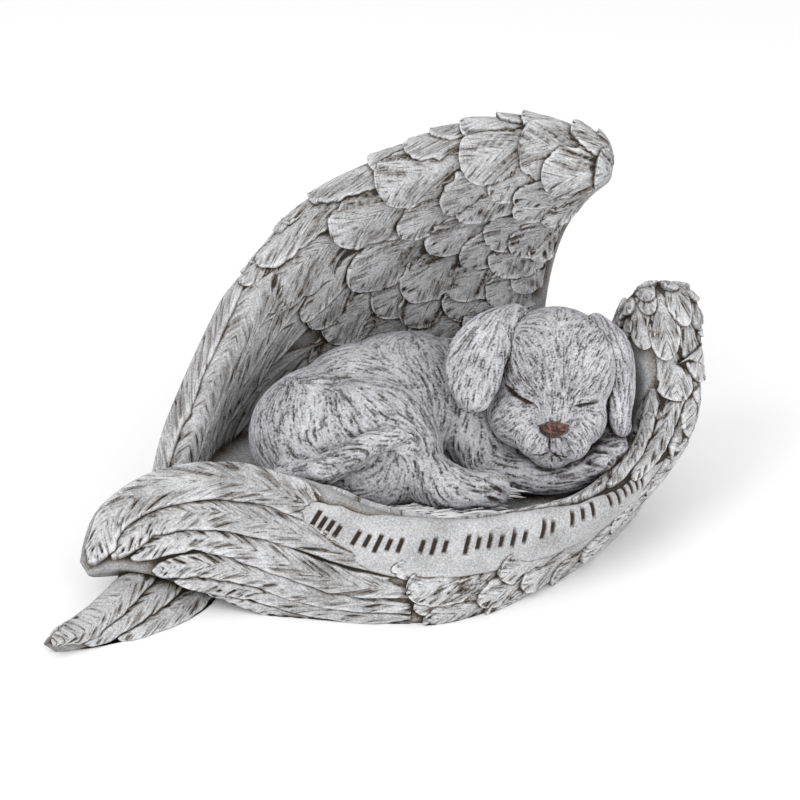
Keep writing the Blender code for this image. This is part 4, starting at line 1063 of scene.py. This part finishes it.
class NodeMaker:
    """Adds nodes to a tree, with their inputs set by name to a value or to another node's output."""

    def __init__(self, tree):
        self.tree = tree

    def __call__(self, kind, out=0, settings=None, **inputs):
        node = self.tree.nodes.new(kind)
        for key, value in (settings or {}).items():
            setattr(node, key, value)
        for key, value in inputs.items():
            socket = node.inputs[int(key[1:])] if key[0] == "_" else node.inputs[key]
            if isinstance(value, bpy.types.NodeSocket):
                self.tree.links.new(value, socket)
            else:
                socket.default_value = value
        return node.outputs[out]

    def math(self, operation, a, b, clamp=False):
        return self("ShaderNodeMath", settings=dict(operation=operation, use_clamp=clamp), _0=a, _1=b)

    def times(self, a, b):
        return self.math("MULTIPLY", a, b)

    def plus(self, a, b):
        return self.math("ADD", a, b)

    def less(self, a, b, clamp=False):
        return self.math("SUBTRACT", a, b, clamp)

    def mix(self, share, a, b):
        return self("ShaderNodeMix", out=2, settings=dict(data_type="RGBA"), _0=share, _6=a, _7=b)


def new_group(name, kind, inputs, outputs):
    """A node group with named sockets: the group, what adds its nodes, its inputs and its results."""
    group = bpy.data.node_groups.new(name, kind)
    for in_out, sockets in (("INPUT", inputs), ("OUTPUT", outputs)):
        for label, socket in sockets.items():
            group.interface.new_socket(label, in_out=in_out, socket_type="NodeSocket" + socket)
    given = group.nodes.new("NodeGroupInput").outputs
    result = group.nodes.new("NodeGroupOutput").inputs
    return group, NodeMaker(group), given, result


# The inputs of the stone's shader, and the attributes of a piece that feed them
STONE_INPUTS = {
    name: name.lower().replace(" ", "_") for name in ("Cut", "Shut", "Ink", "Grain Along", "Grain Out")
}
TONE_NAMES = ("Pale", "Grey", "Wash And Shade", "Dark")

# The stone where it is worn pale, where it is plain, in the wash and in the deepest cuts; the wash and dark
# tones also serve as painted shade where the stone is shut in
WING_TONES = (0.66, 0.66, 0.67), (0.3, 0.3, 0.305), (0.13, 0.112, 0.095), (0.03, 0.024, 0.018)
PUPPY_TONES = (0.66, 0.66, 0.69), (0.32, 0.32, 0.34), (0.14, 0.13, 0.13), (0.05, 0.045, 0.045)

# Where the stone turns from dark to wash, from wash to grey and from grey to pale
TONE_STEPS = (0.0, 0.28), (0.22, 0.62), (0.6, 1.0)
PLAIN_TONE = 0.67
INK = (0.03, 0.018, 0.012, 1)
NOSE_DARK, NOSE_WORN, NOSE_INK = (0.03, 0.012, 0.01, 1), (0.16, 0.085, 0.068, 1), (0.03, 0.015, 0.01, 1)


def stone_wash_and_shade_group():
    """Cast stone with a dark wash left in what is cut, darkening where it is shut in that is partly the wash
    and partly painted shade, and a pale brush over what stands up.
    """
    inputs = dict.fromkeys(STONE_INPUTS, "Float") | dict.fromkeys(TONE_NAMES, "Color")
    outputs = {"Color": "Color", "Height": "Float"}
    group, add, given, result = new_group("stone_wash_and_shade", "ShaderNodeTree", inputs, outputs)
    where = add("ShaderNodeTexCoord", out="Object")
    fine = add("ShaderNodeTexNoise", Vector=where, Scale=1500.0, Detail=4.0, Roughness=0.7)
    pits = add("ShaderNodeTexNoise", Vector=where, Scale=420.0, Detail=2.0)
    patches = add("ShaderNodeTexNoise", Vector=where, Scale=70.0, Detail=3.0)
    out = add("ShaderNodeMath", settings=dict(operation="ABSOLUTE"), _0=given["Grain Out"])
    sloping = add.times(given["Grain Along"], 0.62)
    across = add.less(add.times(out, 1.5), sloping)
    onward = add.plus(add.times(out, 0.07), add.times(given["Grain Along"], 0.16))
    barbs = add("ShaderNodeCombineXYZ", X=across, Y=onward, Z=0.0)
    lines = add("ShaderNodeTexNoise", Vector=barbs, Scale=1.0, Detail=3.0, Roughness=0.6)
    grain = add.less(fine, 0.5)
    slash = add("ShaderNodeMapRange", Value=lines, _1=0.42, _2=0.33, _3=0.0, _4=0.45)
    streak = add.less(add.times(add.less(lines, 0.5), 0.9), slash)
    patch = add.times(add.less(patches, 0.5), 0.5)
    tone = add.plus(add.plus(grain, streak), add.plus(patch, PLAIN_TONE))
    tone = add.less(tone, add.times(given["Cut"], 0.55))
    # Darkened where the stone shuts a point in: partly its dark wash, partly painted shade in hollows and
    # where pieces meet.
    shut = add.less(given["Shut"], 0.1, clamp=True)
    tone = add.less(tone, add.times(shut, 1.5), clamp=True)
    colour = given["Dark"]
    for (low, high), following in zip(TONE_STEPS, ("Wash And Shade", "Grey", "Pale")):
        share = add("ShaderNodeMapRange", Value=tone, _1=low, _2=high)
        colour = add.mix(share, colour, given[following])
    colour = add.mix(given["Ink"], colour, INK)
    group.links.new(colour, result["Color"])
    height = add.plus(add.plus(grain, add.times(streak, 0.7)), pits)
    group.links.new(height, result["Height"])
    return group


def stone_wash_and_shade(name, group, tones):
    """The material of a piece: the stone in its tones, and its nose where it has one."""
    made = bpy.data.materials.new(name)
    made.use_nodes = True
    add = NodeMaker(made.node_tree)
    node = made.node_tree.nodes.new("ShaderNodeGroup")
    node.node_tree = group
    for socket, attribute in STONE_INPUTS.items():
        value = add("ShaderNodeAttribute", out="Fac", settings=dict(attribute_name=attribute))
        made.node_tree.links.new(value, node.inputs[socket])
    for socket, colour in zip(TONE_NAMES, tones):
        node.inputs[socket].default_value = (*colour, 1)
    shader = made.node_tree.nodes["Principled BSDF"]
    shader.inputs["Roughness"].default_value = 0.8
    shader.inputs["Specular IOR Level"].default_value = 0.3
    nose = add("ShaderNodeAttribute", out="Fac", settings=dict(attribute_name="nose"))
    ink = add("ShaderNodeAttribute", out="Fac", settings=dict(attribute_name="ink"))
    place = add("ShaderNodeTexCoord", out="Object")
    spots = add("ShaderNodeTexNoise", Vector=place, Scale=800.0, Detail=3.0)
    worn = add("ShaderNodeMapRange", Value=spots, _1=0.38, _2=0.62)
    skin = add.mix(worn, NOSE_DARK, NOSE_WORN)
    skin = add.mix(ink, skin, NOSE_INK)
    painted = add.mix(nose, node.outputs["Color"], skin)
    made.node_tree.links.new(painted, shader.inputs["Base Color"])
    bump = add("ShaderNodeBump", Strength=0.5, Distance=0.0005, Height=node.outputs["Height"])
    made.node_tree.links.new(bump, shader.inputs["Normal"])
    return made


def finish_piece(obj, material):
    obj.data.materials.append(material)
    obj.data.transform(Matrix.Scale(MM, 4))
    obj.data.shade_smooth()
    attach(obj, "root")
    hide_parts(NODE)


def kept_in_the_box(obj):
    """Takes off what would stand out of the solid's box, or is sunk below the ground."""
    low, high = np.array(CAD_BOX) / MM
    move_points(obj.data, np.clip(mesh_points(obj.data)[0], low, high))


def studio():
    """A pale floor, soft light from the upper left, and the photograph's view."""
    scene = bpy.context.scene
    mesh = bpy.data.meshes.new("floor")
    mesh.from_pydata([(-3, -3, 0), (3, -3, 0), (3, 3, 0), (-3, 3, 0)], [], [(0, 1, 2, 3)])
    floor = linked("floor", mesh)
    floor.location.z = -0.0002
    paint = bpy.data.materials.new("floor")
    paint.use_nodes = True
    shader = paint.node_tree.nodes["Principled BSDF"]
    shader.inputs["Base Color"].default_value = (0.9, 0.9, 0.9, 1)
    shader.inputs["Roughness"].default_value = 0.9
    floor.data.materials.append(paint)
    world = bpy.data.worlds.new("studio")
    scene.world = world
    world.use_nodes = True
    world.node_tree.nodes["Background"].inputs["Color"].default_value = (1, 1, 1, 1)
    world.node_tree.nodes["Background"].inputs["Strength"].default_value = 0.95
    for name, place, size, power in (
        ("key", (-0.5, -0.45, 0.8), 0.5, 3.4),
        ("fill", (0.8, -0.75, 0.35), 0.9, 5.5),
    ):
        light = bpy.data.lights.new(name, "AREA")
        light.size = size
        light.energy = power
        lamp = bpy.data.objects.new(name, light)
        scene.collection.objects.link(lamp)
        lamp.location = place
        lamp.rotation_euler = (Vector((0, 0, 0.05)) - Vector(place)).to_track_quat("-Z", "Y").to_euler()
    camera = bpy.data.objects.new("camera", bpy.data.cameras.new("camera"))
    scene.collection.objects.link(camera)
    camera.data.lens = CAMERA_LENS
    elevation = math.radians(CAMERA_ELEVATION)
    back = Vector((0, -math.cos(elevation), math.sin(elevation)))
    camera.location = (Vector(CAMERA_TARGET) + back * CAMERA_DISTANCE) * MM
    camera.rotation_euler = (-back).to_track_quat("-Z", "Y").to_euler()
    scene.camera = camera
    scene.view_settings.view_transform = "Standard"


def main():
    tall, low = Wing(TALL_WING_STATIONS, -1), Wing(LOW_WING_STATIONS, 1)
    wings = tall_wing_pieces(tall) + low_wing_pieces(low)
    band = band_piece(low)
    nest, straw = nest_piece(tall, low), straw_piece(tall, low)
    puppy = puppy_pieces()
    for piece in wings + [band, nest]:
        kept_in_the_box(piece)
    everything = wings + [band, nest, straw] + puppy
    shade_hollows(everything, 6.0, 10)
    group = stone_wash_and_shade_group()
    warm = stone_wash_and_shade("wing_stone", group, WING_TONES)
    cool = stone_wash_and_shade("puppy_stone", group, PUPPY_TONES)
    for piece in wings + [band, nest, straw]:
        finish_piece(piece, warm)
    for piece in puppy:
        finish_piece(piece, cool)
    studio()
    counts = [len(mesh_triangles(piece.data)) for piece in everything]
    for piece, count in zip(everything, counts):
        print(piece.name, count, "triangles")
    print("in all", sum(counts))


main()
